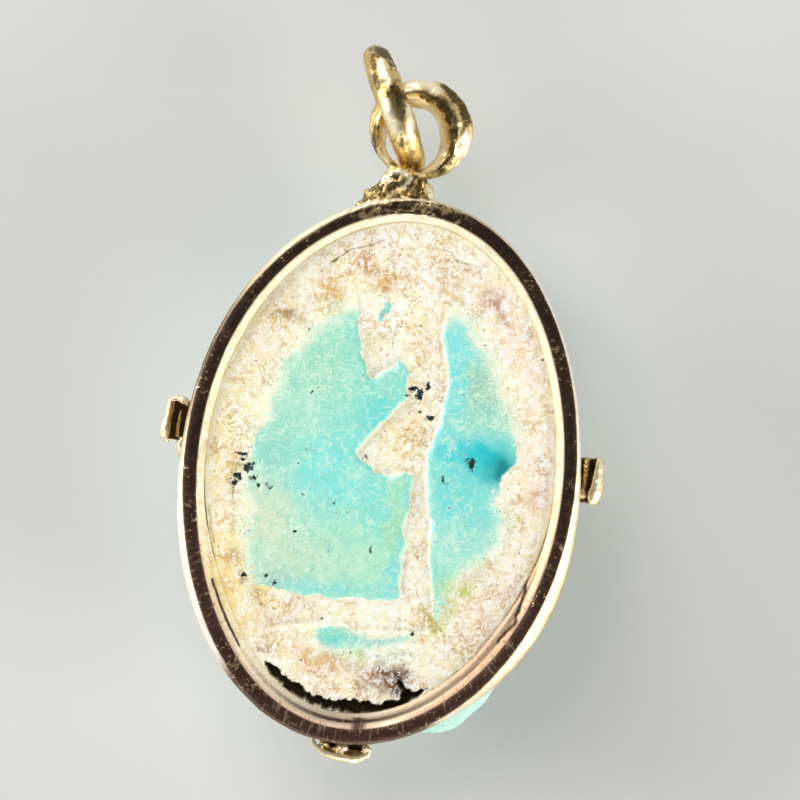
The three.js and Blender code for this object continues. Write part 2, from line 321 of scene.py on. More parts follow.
def keep_values(piece, **layers):
    """Keeps numbers on a piece's points, under the names by which its finish reads them."""
    for name, values in layers.items():
        layer = piece.data.attributes.new(name, "FLOAT", "POINT")
        layer.data.foreach_set("value", np.full(len(layer.data), values, np.float32))


def keep_colour(piece, name, colours):
    """Keeps a colour on each of a piece's points."""
    layer = piece.data.color_attributes.new(name, "FLOAT_COLOR", "POINT")
    full = np.ones((len(colours), 4), np.float32)
    full[:, :3] = colours
    layer.data.foreach_set("color", full.ravel())


def line_distance(points, path):
    """Distance to a line through the given places."""
    x, y = points[:, 0], points[:, 1]
    nearest = np.full(len(x), 1e9)
    for (ax, ay), (bx, by) in zip(path, path[1:]):
        dx, dy = bx - ax, by - ay
        t = np.clip(((x - ax) * dx + (y - ay) * dy) / (dx * dx + dy * dy), 0, 1)
        nearest = np.minimum(nearest, np.hypot(x - ax - t * dx, y - ay - t * dy))
    return nearest


def nearest_line(points, lines):
    """Distance to the nearest of several lines, each given with its own width to take off."""
    nearest = np.full(len(points), FAR)
    for path, width in lines:
        nearest = np.minimum(nearest, line_distance(points, path) - width)
    return nearest


def inside_distance(points, outline):
    """Distance to an outline in millimetres, positive inside it."""
    x, y = points[:, 0], points[:, 1]
    closed = outline + outline[:1]
    inside = np.zeros(len(x), bool)
    for (ax, ay), (bx, by) in zip(closed, closed[1:]):
        crosses = (ay > y) != (by > y)
        with np.errstate(divide="ignore", invalid="ignore"):
            inside ^= crosses & (x < (bx - ax) * (y - ay) / (by - ay) + ax)
    nearest = line_distance(points, closed)
    return np.where(inside, nearest, -nearest)


def stroke(points, path, wide):
    """1 on a line through the given places, fading over its width."""
    return np.exp(-((line_distance(points, path) / wide) ** 2))


def running(steps):
    """Where each step of a way begins and ends, counted from its start."""
    return np.concatenate([[0], np.cumsum(steps)])


def spot(points, x, y, wide, tall=None, turn=0.0):
    """A soft round or oval spot, 1 in its middle."""
    c, s = math.cos(math.radians(turn)), math.sin(math.radians(turn))
    dx, dy = points[:, 0] - x, points[:, 1] - y
    u = (dx * c + dy * s) / wide
    v = (dy * c - dx * s) / (tall or wide)
    return np.exp(-(u * u + v * v))


# The band's oval

def band_point(angle, out):
    """A place on the band's slightly uneven oval, moved outward."""
    nx = np.cos(angle) / BAND_HALF_WIDTH
    ny = np.sin(angle) / BAND_HALF_LENGTH
    length = np.hypot(nx, ny)
    uneven = OVAL_SKEW * np.sin(2 * angle) - OVAL_CORNERS * np.sin(4 * angle)
    x = BAND_HALF_WIDTH * np.cos(angle) + (out + uneven) * nx / length
    y = BAND_HALF_LENGTH * np.sin(angle) + (out + uneven) * ny / length
    return x, y


def lower_end(angle):
    """How much a place belongs to the lower end, where lip and wall are wider."""
    return smooth_step(0, 0.6, -np.sin(angle))


def lip_inset(angle):
    """How far the inner edge of the lip lies in from the band's line."""
    return BAND_TOP_WIDTH + LIP_WIDTH + LIP_EXTRA_AT_FOOT * lower_end(angle)


def wall_lean(angle):
    """How far the outer wall stands out below the band's top."""
    return 0.08 + 0.3 * hump(angle, -28, 26) + 0.2 * hump(angle, -150, 28)


def square_to_round(along, across):
    """Turns places on a square sheet into an angle and a share of the way out to the rim."""
    x, y = 2 * along - 1, 2 * across - 1
    u, v = x * np.sqrt(1 - y * y / 2), y * np.sqrt(1 - x * x / 2)
    return np.arctan2(v, u), np.hypot(u, v)


def seal_rim(angle):
    """The seal face's own edge, just inside the lip."""
    return band_point(angle, -(lip_inset(angle) + PLAY))


def way_round(points):
    """The angle on the band's oval at which places lie."""
    return np.arctan2(points[:, 1] / BAND_HALF_LENGTH, points[:, 0] / BAND_HALF_WIDTH)


def out_of_band(points):
    """How far places lie outward from the band's line."""
    angle = way_round(points)
    x, y = band_point(angle, 0.0)
    nx, ny = np.cos(angle) / BAND_HALF_WIDTH, np.sin(angle) / BAND_HALF_LENGTH
    return ((points[:, 0] - x) * nx + (points[:, 1] - y) * ny) / np.hypot(nx, ny)


# What is left of the device on the seal face, traced as broad forms.
LIMB = [
    (-1.39, 5.61), (-1.26, 5.07), (-1.36, 4.83), (-1.26, 4.57), (-1.15, 4.2), (-1.1, 3.78),
    (-0.93, 3.46), (-0.81, 3.14), (-0.69, 3.02), (-0.48, 3.05), (-0.33, 3.24), (-0.06, 3.4),
    (0.1, 3.5), (0, 3.83), (-0.09, 4.2), (-0.1, 4.45), (-0.12, 4.96), (-0.22, 5.75),
]
TORSO = [
    (-0.28, 6.25), (-0.1, 4.45), (-0.09, 4.2), (0.01, 3.87), (0.2, 3.68), (0.38, 3.62),
    (0.56, 3.35), (0.53, 3.13), (0.53, 2.79), (0.6, 2.55), (0.97, 1.91), (1.79, 1.84),
    (1.86, 2.79), (1.91, 3.3), (1.83, 3.72), (1.67, 4.2), (1.54, 4.57), (1.51, 4.95),
    (1.54, 5.38), (1.39, 6.46),
]
KILT = [
    (0.6, 2.55), (0.3, 2.21), (-0.07, 1.74), (-0.43, 1.23), (-0.83, 0.67), (-0.89, 0.54),
    (-0.78, 0.34), (-0.56, 0.24), (-0.34, 0.14), (-0.19, -0.05), (-0.01, -0.12), (0.26, -0.19),
    (0.54, -0.07), (0.78, 0.04), (1.04, 0.01), (1.18, -0.1), (1.55, -0.01), (1.5, 0.58),
    (1.49, 0.79), (1.58, 1.14), (1.67, 1.45), (1.79, 1.84), (1.3, 2.72),
]
STAFF = [
    (1.07, 0.03), (1.07, -0.31), (1.1, -0.73), (1.13, -1.1), (1.05, -1.37), (0.95, -1.76),
    (1.11, -2.17), (1.12, -2.46), (1.04, -2.85), (1.07, -3.27), (1.07, -3.61), (1.15, -4.03),
    (1.16, -4.32), (2.37, -4.17), (2.22, -3.77), (2.11, -3.27), (2.03, -2.94), (1.97, -2.44),
    (1.93, -1.94), (1.87, -1.44), (1.72, -0.95), (1.65, -0.57), (1.6, -0.16), (1.54, 0.18),
    (1.47, 0.59), (1.2, 0.56),
]
GROUND_LINE = [
    (-3.77, -4.2), (-2.69, -4.27), (-2.02, -4.4), (-1.5, -4.28), (-1.01, -4.37), (-0.44, -4.21),
    (0.28, -4.24), (1.12, -4.11), (2.15, -3.99), (2.41, -4.69), (2.81, -5.06), (1.11, -5.23),
    (0.16, -5.26), (-0.68, -5.19), (-1.38, -5.27), (-3.12, -5.61),
]
# How far the glaze still reaches toward the rim.
GLAZE_LIMIT = [
    (-2.06, 5.12), (-1.61, 5.33), (-1.16, 5.5), (0.25, 5.61), (1.53, 5.39), (1.86, 5.55),
    (2.24, 5.41), (2.56, 5.24), (2.72, 4.85), (3.04, 4.41), (3.37, 3.92), (3.64, 3.18),
    (3.92, 2.62), (4.08, 2.05), (4.38, 1.49), (4.43, 0.84), (3.99, 0.31), (3.98, -0.34),
    (4.19, -0.79), (4.33, -1.25), (4.26, -1.85), (3.98, -2.48), (3.44, -2.96), (2.98, -3.49),
    (2.7, -4.18), (2.57, -4.73), (1.56, -5.03), (-1.01, -5.35), (-3.07, -5.01), (-3.77, -4.2),
    (-4.17, -3.36), (-4.38, -2.55), (-4.25, -1.71), (-4.51, -1.03), (-4.31, -0.29),
    (-4.27, 0.43), (-4.13, 1.16), (-4.06, 1.88), (-3.86, 2.56), (-3.59, 3.24), (-3.16, 3.95),
    (-2.76, 4.53), (-2.39, 4.87),
]
# The strip of glaze left below the ground line.
LOW_PATCH = [
    (-1.39, -5.39), (-1.02, -5.3), (-0.6, -5.3), (-0.15, -5.42), (0.31, -5.49), (1.01, -5.41),
    (1.58, -5.22), (1.63, -5.4), (0.99, -5.67), (0.35, -5.8), (-0.36, -5.86), (-0.7, -5.97),
    (-1.12, -5.89), (-1.33, -5.68),
]
# Black specks: place, width, height and turn.
PITS = [
    (0.97, 2.67, 0.17, 0.26, 20), (0.72, 2.9, 0.16, 0.1, 0), (0.62, 2.62, 0.08, 0.06, 0),
    (1.42, 1.95, 0.17, 0.08, 10), (1.2, 3.0, 0.08, 0.12, 0), (1.0, 2.1, 0.2, 0.06, 0),
    (2.99, 0.56, 0.1, 0.24, 8), (2.84, 0.74, 0.07, 0.05, 0), (2.13, -0.02, 0.13, 0.07, -45),
    (2.3, -0.14, 0.05, 0.05, 0), (-0.55, 0.5, 0.07, 0.07, 0), (-4.76, -0.99, 0.1, 0.14, 0),
    (-4.62, -0.74, 0.14, 0.16, 0), (-4.33, -0.41, 0.26, 0.13, 35), (-4.55, -0.15, 0.12, 0.12, 0),
    (-4.6, 0.02, 0.2, 0.07, 20), (-4.12, -0.76, 0.11, 0.13, 0), (-3.95, -0.98, 0.06, 0.12, 0),
    (-3.68, -0.85, 0.13, 0.07, 0), (-3.5, -1.0, 0.1, 0.06, 0), (-2.74, -0.3, 0.08, 0.05, 0),
    (-1.37, -1.2, 0.08, 0.05, 50), (-2.55, -2.32, 0.08, 0.07, 0),
    (0.02, -2.6, 0.04, 0.1, 0), (1.72, -5.18, 0.09, 0.06, 0), (-1.34, -5.09, 0.08, 0.06, 0),
    (-3.0, -4.1, 0.1, 0.07, 0), (-3.3, -3.9, 0.1, 0.1, 0), (-4.08, -3.95, 0.09, 0.14, 0),
    (-4.36, -6.11, 0.1, 0.08, 0), (1.83, -7.19, 0.15, 0.12, 0),
]


# The scarab

def seal_sheet(along, across):
    """The seal face out to its rim, with the wall that the band hides."""
    angle, share = square_to_round(along, across)
    turned = np.clip((share - FACE_SHARE) / (1 - FACE_SHARE), 0, 1)
    flat = np.minimum(share / FACE_SHARE, 1)
    rim_x, rim_y = seal_rim(angle)
    inset = (1 - flat) * MIDDLE_REACH
    height = np.interp(inset, [0, 0.05, 0.5], [FACE_TOP - 0.12, FACE_TOP - 0.05, FACE_TOP])
    height = height + (BACK_TOP - height) * turned
    return np.column_stack([rim_x * flat, rim_y * flat, height])


def back_radius(angle, share):
    """How far the back reaches from its axis at an angle, for a share of the full width."""
    plain = 1 / np.hypot(np.cos(angle) / BACK_HALF_WIDTH, np.sin(angle) / BACK_HALF_LENGTH)
    head = smooth_step(0.75, 1, np.sin(angle - AXIS_TURN))
    full = plain + 0.9 * hump(angle, -66, 11) + 0.35 * hump(angle, -103, 11) - 0.35 * head
    return share * (plain + smooth_step(0.75, 1, share) * (full - plain))


def back_sheet(along, across):
    """The beetle's back, from the flat spot it lies on up to the band."""
    angle, way = square_to_round(along, across)
    shares, heights = np.array(BACK_PROFILE).T
    stops = running(np.hypot(np.diff(shares) * MIDDLE_REACH, np.diff(heights)))
    stops = stops / stops[-1] * BACK_SHARE
    share = np.interp(way, stops, shares)
    height = np.interp(way, stops, heights)
    reach = back_radius(angle, share)
    shift = REST_SHIFT * (1 - smooth_step(0, BACK_WIDEST, height))
    x = reach * np.cos(angle)
    y = reach * np.sin(angle) + shift
    tucked = np.clip((way - BACK_SHARE) / (1 - BACK_SHARE), 0, 1)
    rim_x, rim_y = seal_rim(angle)
    return np.column_stack([
        x + (rim_x - x) * tucked, y + (rim_y - y) * tucked, height,
    ])


def arc_path(half, rise_from, drop):
    """A curved line across the back: half its reach, its middle place and its ends' drop."""
    xs = np.linspace(-half, half, 25)
    return [(x, rise_from + drop * (x / half) ** 2) for x in xs]


# The legs of one side, and the lines between head and wing cases, on the beetle's own axes.
LEGS = [
    [(3.3, 6.9), (4.5, 5.6), (5.15, 4.3), (5.4, 3.4)],
    [(5.9, -1.5), (5.65, -2.5), (5.15, -3.5)],
    [(5.35, -4.3), (4.6, -5.8), (3.3, -7.2)],
]
LEG_WIDTH = 0.55
LEG_RISE = 0.34
WING_LINES = [
    arc_path(5.3, 2.9, -0.3),
    arc_path(3.4, 6.3, 0.35),
    [(0, 3.0), (0, 0.7)],
    [(0, -0.7), (0, -7.4)],
    [(4.6, 2.6), (3.9, 1.6)],
    [(-4.6, 2.6), (-3.9, 1.6)],
    [(1.3, 7.0), (1.6, 7.7)],
    [(-1.3, 7.0), (-1.6, 7.7)],
]
WING_LINE_WIDTH = 0.15
WING_LINE_DEPTH = 0.22
HEAD_RIDGES = [(-2.0, 7.2), (2.0, 7.2)]


def own_axes(points):
    """Places on the beetle's own axes, which are turned a little from the band's."""
    c, s = math.cos(AXIS_TURN), math.sin(AXIS_TURN)
    return np.column_stack([
        points[:, 0] * c + points[:, 1] * s, points[:, 1] * c - points[:, 0] * s,
    ])


def carve_back(piece):
    """Raises the legs, cuts the lines between head and wing cases, and rubs the high places."""
    points = points_of(piece)
    flat = own_axes(points)
    below = 1 - smooth_step(4.5, 5.1, points[:, 2])
    rubbed = smooth_step(0, 0.6, points[:, 2])
    rise = np.zeros(len(points))
    for leg in LEGS:
        for side in (1, -1):
            bar = stroke(flat, [(side * x, y) for x, y in leg], LEG_WIDTH)
            rise = np.maximum(rise, bar * LEG_RISE)
    for line in WING_LINES:
        rise = rise - WING_LINE_DEPTH * stroke(flat, line, WING_LINE_WIDTH)
    rise = rise + 0.03 * np.sin(flat[:, 0] * 9) * stroke(flat, HEAD_RIDGES, 0.6)
    rough = roughness_at(points, 0.9, seed=3) * 0.05 + roughness_at(points, 0.16, seed=4) * 0.012
    push_out(piece, (rise + rough) * rubbed * below)

    drift = roughness_at(points, 1.2, seed=5)
    worn = np.maximum((1 - rubbed) * 1.3, smooth_step(0.15, LEG_RISE, rise) * 0.75)
    lines = nearest_line(flat, [(line, 0.03) for line in WING_LINES])
    keep_values(
        piece, figure=-FAR, field=0.75 - worn + drift * 0.5, pit=0, lost=0,
        dark_line=lines + (1 - below) * FAR, rim=0, scratch=FAR,
        rubbed=0.4 * smooth_step(0, 0.5, drift))
    pale = np.clip(0.5 + drift * 0.6, 0, 1)[:, None]
    glaze = linear((172, 234, 220)) * pale + linear((210, 244, 230)) * (1 - pale)
    keep_colour(piece, "glaze_tone", glaze)
    keep_colour(piece, "bare_tone", np.tile(linear((240, 228, 198)), (len(points), 1)))


# The opening where the lower edge of the face has broken away; its hollow is painted near black as
# painted shade.
BREAK = [
    (-3.03, -6.69), (-2.81, -6.74), (-2.24, -7.1), (-1.85, -7.26), (-1.33, -7.62),
    (-0.52, -7.71), (0, -7.59), (0.64, -7.64), (1.21, -7.55), (1.57, -7.42), (1.66, -7.15),
    (1.44, -6.83), (1.91, -7.17), (2.36, -6.97), (2.36, -7.05), (2.1, -7.3), (1.6, -7.75),
    (1, -8.0), (0.25, -8.1), (-0.6, -8.1), (-1.3, -7.95), (-1.6, -7.76), (-1.95, -7.72),
    (-2.3, -7.6), (-2.41, -7.4), (-2.9, -7.0),
]
# Fine dark lines: the old border line and cracks between stone and lip, with their widths.
DARK_LINES = [
    ([(-2.5, 6.62), (-2.2, 6.9), (-1.73, 7.2), (-1.25, 7.38), (-0.81, 7.6)], 0.01),
    ([(-2.42, 6.68), (-2.22, 6.86)], 0.04),
    ([(0.62, 7.64), (1.1, 7.53), (1.47, 7.48), (1.71, 7.17), (2.11, 7.09), (2.52, 7.04)], 0.015),
    ([(-5.47, -1.82), (-5.31, -2.6), (-5.15, -3.04)], 0.015),
    ([(-4.84, -0.94), (-4.66, -1.62)], 0.015),
    ([(-5.08, -4.2), (-4.78, -4.86), (-4.43, -5.5), (-3.92, -6.28)], 0.03),
    ([(5.25, -3.03), (5.17, -3.69), (5.0, -4.46), (4.55, -5.14)], 0.03),
    ([(0.1, 3.5), (0.02, 3.85), (-0.09, 4.2), (-0.12, 4.5)], 0.015),
    ([(1.32, -6.6), (1.5, -6.95), (1.66, -7.2)], 0.05),
]
WHITE_SCRATCHES = [
    [(-2.03, 2.16), (-1.15, 2.57)], [(2.25, 4.65), (2.9, 4.73)], [(2.13, 4.27), (2.55, 4.35)],
    [(-2.52, -3.09), (-1.15, -2.88)], [(-2.21, -2.62), (-1.69, -2.55)],
    [(2.43, 1.81), (3.0, 1.85), (3.87, 1.99)], [(2.3, 3.1), (2.9, 3.2)],
    [(-3.5, 0.95), (-3.1, 1.15), (-2.4, 1.2)], [(-2.2, 3.3), (-1.6, 3.42)],
    [(-2.2, 1.05), (-1.7, 1.25), (-1.2, 1.2)], [(2.4, 2.5), (2.8, 2.2), (3.3, 2.3)],
    [(3.1, -2.0), (3.4, -1.6), (3.9, -1.7)], [(-1.6, 2.15), (-1.4, 1.95), (-1.7, 1.8)],
]
# Tones of the glaze and of the bare stone: place, size across and along, turn, tone, strength.
GLAZE_TONES = [
    (-2.8, 3.3, 1.6, 1.5, 0, (158, 226, 196), 0.9),
    (-3.2, 1.6, 0.9, 1.2, 0, (176, 232, 208), 0.8),
    (-0.5, -2.9, 1.7, 1.3, 0, (182, 238, 205), 0.9),
    (-2.4, -3.3, 1.3, 0.8, 0, (196, 226, 192), 0.8),
    (-3.6, -1.9, 1.0, 1.3, 0, (212, 230, 196), 1.0),
    (-3.2, -4.0, 0.5, 0.3, 0, (170, 190, 180), 0.6),
    (-1.6, -0.2, 1.2, 1.0, 0, (126, 233, 226), 0.9),
    (0.2, -1.3, 0.8, 0.8, 0, (134, 230, 216), 0.8),
    (-1.2, -4.05, 1.6, 0.22, 3, (128, 226, 218), 0.7),
    (0.66, -1.6, 0.2, 1.3, 0, (176, 226, 166), 0.75),
    (0.85, -3.3, 0.3, 0.9, 0, (120, 226, 222), 0.8),
    (-0.25, 1.8, 0.7, 0.9, -30, (112, 226, 220), 0.95),
    (-0.75, 3.0, 0.5, 0.6, 0, (140, 232, 210), 0.6),
    (-0.35, 0.9, 0.35, 0.5, 0, (96, 216, 212), 0.7),
    (0.0, 2.9, 0.4, 0.4, 0, (150, 226, 206), 0.6),
    (2.1, 4.6, 0.4, 0.9, 0, (132, 232, 230), 0.95),
    (2.1, 2.9, 0.45, 1.4, 0, (120, 230, 228), 0.95),
    (3.15, 3.1, 0.65, 1.1, 0, (158, 210, 182), 1.0),
    (3.1, 2.2, 0.5, 0.4, 0, (150, 224, 206), 0.7),
    (2.4, 0.9, 0.9, 0.5, 0, (80, 222, 228), 0.95),
    (3.2, 0.8, 0.9, 0.6, 0, (40, 206, 214), 0.95),
    (3.75, 0.6, 0.55, 0.5, 0, (10, 180, 188), 0.8),
    (3.98, 0.42, 0.36, 0.34, 0, (0, 140, 145), 1.0),
    (-3.6, 0.3, 0.5, 0.9, 0, (146, 222, 204), 0.8),
    (2.5, -0.6, 1.0, 1.0, 0, (112, 226, 222), 0.85),
    # A painted highlight: pale strip on the glaze's rounded edge beside the staff.
    (1.75, -1.6, 0.3, 2.0, 5, (164, 238, 226), 0.7),
    (2.9, -2.4, 0.9, 0.7, 0, (168, 232, 216), 0.8),
    (3.3, -1.2, 0.5, 0.5, 0, (128, 226, 220), 0.6),
    (2.0, -3.9, 0.35, 0.6, 0, (138, 218, 206), 0.8),
    (2.9, -3.5, 0.5, 0.35, 30, (176, 212, 120), 0.9),
    (-0.9, -5.6, 0.4, 0.2, 0, (116, 222, 210), 0.9),
    (0.6, -5.5, 0.7, 0.2, 0, (160, 220, 206), 0.8),
    (-0.44, 5.36, 0.3, 0.4, 0, (130, 216, 205), 1.0),
]
BARE_TONES = [
    (-5.2, 0.5, 1.2, 3.5, 0, (250, 240, 200), 0.8),
    (-4.6, -4.2, 1.1, 1.8, 30, (252, 228, 150), 0.9),
    (-4.3, 4.4, 1.0, 1.6, -35, (246, 233, 198), 0.7),
    (2.6, 6.3, 1.2, 0.6, -25, (242, 226, 214), 0.7),
    (4.2, 4.6, 0.7, 1.4, 35, (246, 226, 204), 0.7),
    (5.0, 0.0, 0.5, 2.5, 0, (248, 232, 212), 0.7),
    (4.0, -4.4, 1.2, 1.2, 0, (244, 224, 204), 0.7),
    (-2.6, -5.6, 1.4, 0.8, -25, (238, 224, 200), 0.5),
    (0.7, 1.2, 0.7, 0.8, 0, (245, 228, 176), 0.8),
    (0.9, 4.6, 0.6, 1.0, 0, (240, 224, 186), 0.6),
    (-0.7, 4.4, 0.3, 0.6, 0, (232, 228, 200), 0.6),
    (-1.13, 6.69, 0.28, 0.35, 30, (212, 156, 82), 1.0),
    (-0.52, 6.11, 0.32, 0.24, 0, (230, 180, 98), 1.0),
    (-2.36, 5.65, 0.4, 0.5, 0, (226, 192, 118), 0.95),
    (-3.74, 4.79, 0.4, 0.22, 0, (170, 134, 84), 0.85),
    (3.27, 5.75, 0.2, 0.5, 30, (180, 138, 108), 0.85),
    (1.5, 6.2, 0.6, 0.35, -30, (222, 190, 140), 0.6),
    (-4.46, -3.39, 0.25, 0.35, 0, (214, 168, 100), 0.8),
    (-4.08, -4.06, 0.18, 0.22, 0, (168, 118, 62), 0.8),
    (-4.9, -0.4, 0.25, 0.6, 0, (232, 200, 130), 0.5),
    (1.0, -6.75, 0.65, 0.45, 10, (112, 70, 42), 1.0),
    (1.45, -7.0, 0.3, 0.35, 0, (80, 50, 36), 1.0),
    (0.4, -6.9, 0.5, 0.3, 0, (196, 158, 128), 0.7),
    (-1.2, -6.5, 0.8, 0.4, -15, (222, 178, 112), 0.8),
    (-0.2, -6.4, 0.6, 0.25, 0, (196, 170, 140), 0.6),
    (-3.0, -6.3, 0.3, 0.25, 0, (206, 176, 140), 0.6),
    (5.31, -0.24, 0.22, 0.4, 0, (236, 186, 160), 0.8),
    (2.95, -3.75, 0.65, 0.28, 30, (200, 204, 104), 1.0),
    (2.47, -4.68, 0.35, 0.55, 0, (212, 210, 116), 1.0),
    (2.6, -4.2, 0.5, 0.5, 0, (222, 220, 150), 0.8),
    (3.88, -2.61, 0.25, 0.25, 0, (210, 176, 110), 0.8),
    (3.3, -3.0, 0.3, 0.2, 30, (214, 164, 96), 0.7),
    (0.4, -6.05, 1.6, 0.18, 3, (214, 234, 214), 0.7),
    (-0.3, -6.2, 0.7, 0.16, 0, (206, 222, 160), 0.6),
    # A painted highlight: thin white line along the staff's right edge.
    (1.75, -1.5, 0.1, 2.2, 5, (246, 240, 228), 0.5),
]
GLAZE_GROUND = (150, 232, 214)
BARE_GROUND = (254, 250, 230)

# Depths on the seal face, and the level of the hollow where its edge has broken away.
FIGURE_DEPTH = 0.17
BARE_DEPTH = 0.05
LINE_DEPTH = 0.09
PIT_DEPTH = 0.1
HOLLOW_LEVEL = 6.1
# Below this place only the low patch has glaze.
GROUND_LINE_FOOT = -4.95


def linear(tone):
    """A tone given as a screen shows it, from 0 to 255, as light."""
    share = np.array(tone) / 255
    return np.where(share <= 0.04045, share / 12.92, ((share + 0.055) / 1.055) ** 2.4)


def toned(points, ground, tones):
    """A ground tone with soft areas of other tones laid over it."""
    colours = np.tile(linear(ground), (len(points), 1))
    for x, y, wide, tall, turn, tone, strength in tones:
        share = np.clip(spot(points, x, y, wide, tall, turn) * 1.35, 0, 1) * strength
        colours = colours + (linear(tone) - colours) * share[:, None]
    return colours


def chip_inside(points):
    """How far inside the chip of glaze left at the figure's top places lie."""
    x, y = points[:, 0], points[:, 1]
    chip = 0.2 - np.hypot((x + 0.44) / 0.72, y - 5.39)
    tail = 0.1 - np.hypot(x + 0.6, (y - 5.1) / 1.8)
    return np.maximum(chip, tail)


def glaze_field(points, limit, patch, chip):
    """How surely glaze is left: the way in from its limit, with more where it is thick."""
    low = patch * 2 + 0.2 + 0.4 * spot(points, -0.95, -5.6, 0.5, 0.3)
    field = np.where(points[:, 1] < GROUND_LINE_FOOT, low, limit)
    field = np.where(chip > -0.05, 0.45, field)
    thick = 0.7 * spot(points, 3.9, 0.7, 0.85) + 0.4 * spot(points, -3.9, 0.0, 0.6, 0.7)
    return field + thick * (limit > 0)


def carve_seal(piece):
    """Sinks the device, roughens the bare stone, and keeps what the finish needs to know."""
    points = points_of(piece)
    on_face = smooth_step(FACE_TOP - 0.5, FACE_TOP - 0.2, points[:, 2])
    bumps = roughness_at(points, 0.35, seed=1, octaves=4)
    drift = roughness_at(points, 0.5, seed=8, octaves=4)
    grit = roughness_at(points, 0.1, seed=2)
    wander = np.column_stack([bumps, drift, bumps * 0]) * 0.05
    ragged = points + wander

    forms = (LIMB, TORSO, KILT, STAFF, GROUND_LINE)
    chip = chip_inside(points)
    figure = np.minimum(np.max([inside_distance(ragged, form) for form in forms], axis=0), -chip)
    limit = inside_distance(points, GLAZE_LIMIT)
    field = glaze_field(points, limit, inside_distance(ragged, LOW_PATCH), chip)

    fading = 1 - 0.75 * smooth_step(4.4, 5.8, points[:, 1])
    sunk = smooth_step(-0.1, 0.07, figure) * fading
    bare = 1 - smooth_step(-0.25, 0.15, limit)
    rim = 1 - smooth_step(0.03, 0.34, face_inset(points) + bumps * 0.1)
    coarse = np.maximum(sunk, bare) * (1 - 0.7 * rim)
    lines = nearest_line(ragged, DARK_LINES)
    pit = np.zeros(len(points))
    for x, y, wide, tall, turn in PITS:
        pit = np.maximum(pit, spot(ragged + wander, x, y, wide, tall, turn))
    drop = FIGURE_DEPTH * sunk + BARE_DEPTH * bare + PIT_DEPTH * pit
    drop = drop + LINE_DEPTH * (1 - smooth_step(-0.02, 0.05, lines))
    drop = drop - (bumps * 0.4 + grit * 0.8) * (0.012 + 0.036 * coarse)

    jag = roughness_at(points, 0.22, seed=6, octaves=4) * 0.13
    lost = smooth_step(-0.03, 0.05, inside_distance(ragged, BREAK) + jag)
    height = points[:, 2] - drop * on_face
    hollow = np.minimum(HOLLOW_LEVEL + bumps * 0.1, height)
    points[:, 2] = height + (hollow - height) * lost * (height > 6)
    put_points(piece, points)

    keep_values(
        piece, figure=figure, field=field, pit=pit, lost=lost, dark_line=lines, rim=rim,
        scratch=nearest_line(points, [(path, 0) for path in WHITE_SCRATCHES]),
        rubbed=rubbed_places(points))
    soft = points + np.column_stack([drift, bumps, bumps * 0]) * 0.25
    keep_colour(piece, "glaze_tone", toned(soft, GLAZE_GROUND, GLAZE_TONES) * 0.93)
    keep_colour(piece, "bare_tone", toned(soft, BARE_GROUND, BARE_TONES))


def rubbed_places(points):
    """Where fine scratches have whitened the glaze."""
    marks = [(-2.5, 3.0, 1.4, 1.3), (2.7, 2.7, 0.7, 0.9), (2.9, -2.3, 0.9, 0.7),
             (-2.8, -2.2, 1.1, 1.0), (0.0, 2.3, 0.3, 0.3), (2.6, 4.4, 0.4, 0.6)]
    rubbed = np.zeros(len(points))
    for x, y, wide, tall in marks:
        rubbed = np.maximum(rubbed, spot(points, x, y, wide, tall))
    return rubbed - np.clip(spot(points, 3.7, 0.75, 0.9, 0.75) * 2, 0, 1)


def face_inset(points):
    """Roughly how far a place on the seal face is from the rim."""
    rim_x, rim_y = seal_rim(way_round(points))
    return np.hypot(rim_x, rim_y) - np.hypot(points[:, 0], points[:, 1])


def scarab_body():
    """The stone: seal face and back, carved and then joined at their rims behind the band."""
    seal = rolled_sheet("scarab_stone", *STONE_GRID, seal_sheet)
    carve_seal(seal)
    back = rolled_sheet("scarab_back", *STONE_GRID, back_sheet)
    only(back)
    bpy.ops.object.mode_set(mode="EDIT")
    bpy.ops.mesh.select_all(action="SELECT")
    bpy.ops.mesh.flip_normals()
    bpy.ops.object.mode_set(mode="OBJECT")
    carve_back(back)
    stone = joined("scarab_stone", seal, back)
    weld(stone)
    return stone


# The gold band

BAND_STEPS = 720
# The band's section: the outer wall as shares of its lean and heights, then top, lip and inside
# as places in from the line and heights, at the upper end and at the lower end.
WALL_SHARES = [1, 1, 1, 1, 0.85, 0.5, 0.1]
WALL_FEET = [BAND_BOTTOM, 5.8, 6.3]
TOP_UPPER = [
    (-0.06, 7.16), (-0.225, 7.2), (-0.35, 7.18), (-0.42, 7.16), (-0.46, 7.15), (-0.5, 7.13),
    (-0.56, 7.08), (-0.62, 7.0), (-0.69, 6.91), (-0.65, 6.86), (-0.64, 6.6), (-0.64, 6.0),
    (-0.64, BAND_BOTTOM),
]
TOP_LOWER = [
    (-0.06, 7.16), (-0.2, 7.19), (-0.35, 7.15), (-0.43, 7.1), (-0.47, 7.08), (-0.54, 7.03),
    (-0.62, 6.95), (-0.68, 6.93), (-0.74, 6.97), (-0.81, 6.98), (-0.88, 6.94), (-0.93, 6.9),
    (-0.88, BAND_BOTTOM),
]
# Solder that ran over the band's top, as lines with a width and a height.
SOLDER_RUNS = [
    ([(-2.39, 8.27), (-1.57, 8.64), (-0.8, 8.9), (-0.32, 9.32)], 0.07, 0.07),
    ([(-0.99, 8.54), (-0.4, 8.6), (0.25, 8.76)], 0.06, 0.05),
    ([(0.33, 8.67), (0.66, 8.94), (1.35, 8.73)], 0.06, 0.06),
    ([(-0.27, 8.88), (0.37, 8.87)], 0.05, 0.04),
    ([(-1.5, 8.26), (-1.2, 8.24)], 0.12, 0.07),
    ([(0.45, 8.5), (0.66, 8.56)], 0.08, 0.05),
]


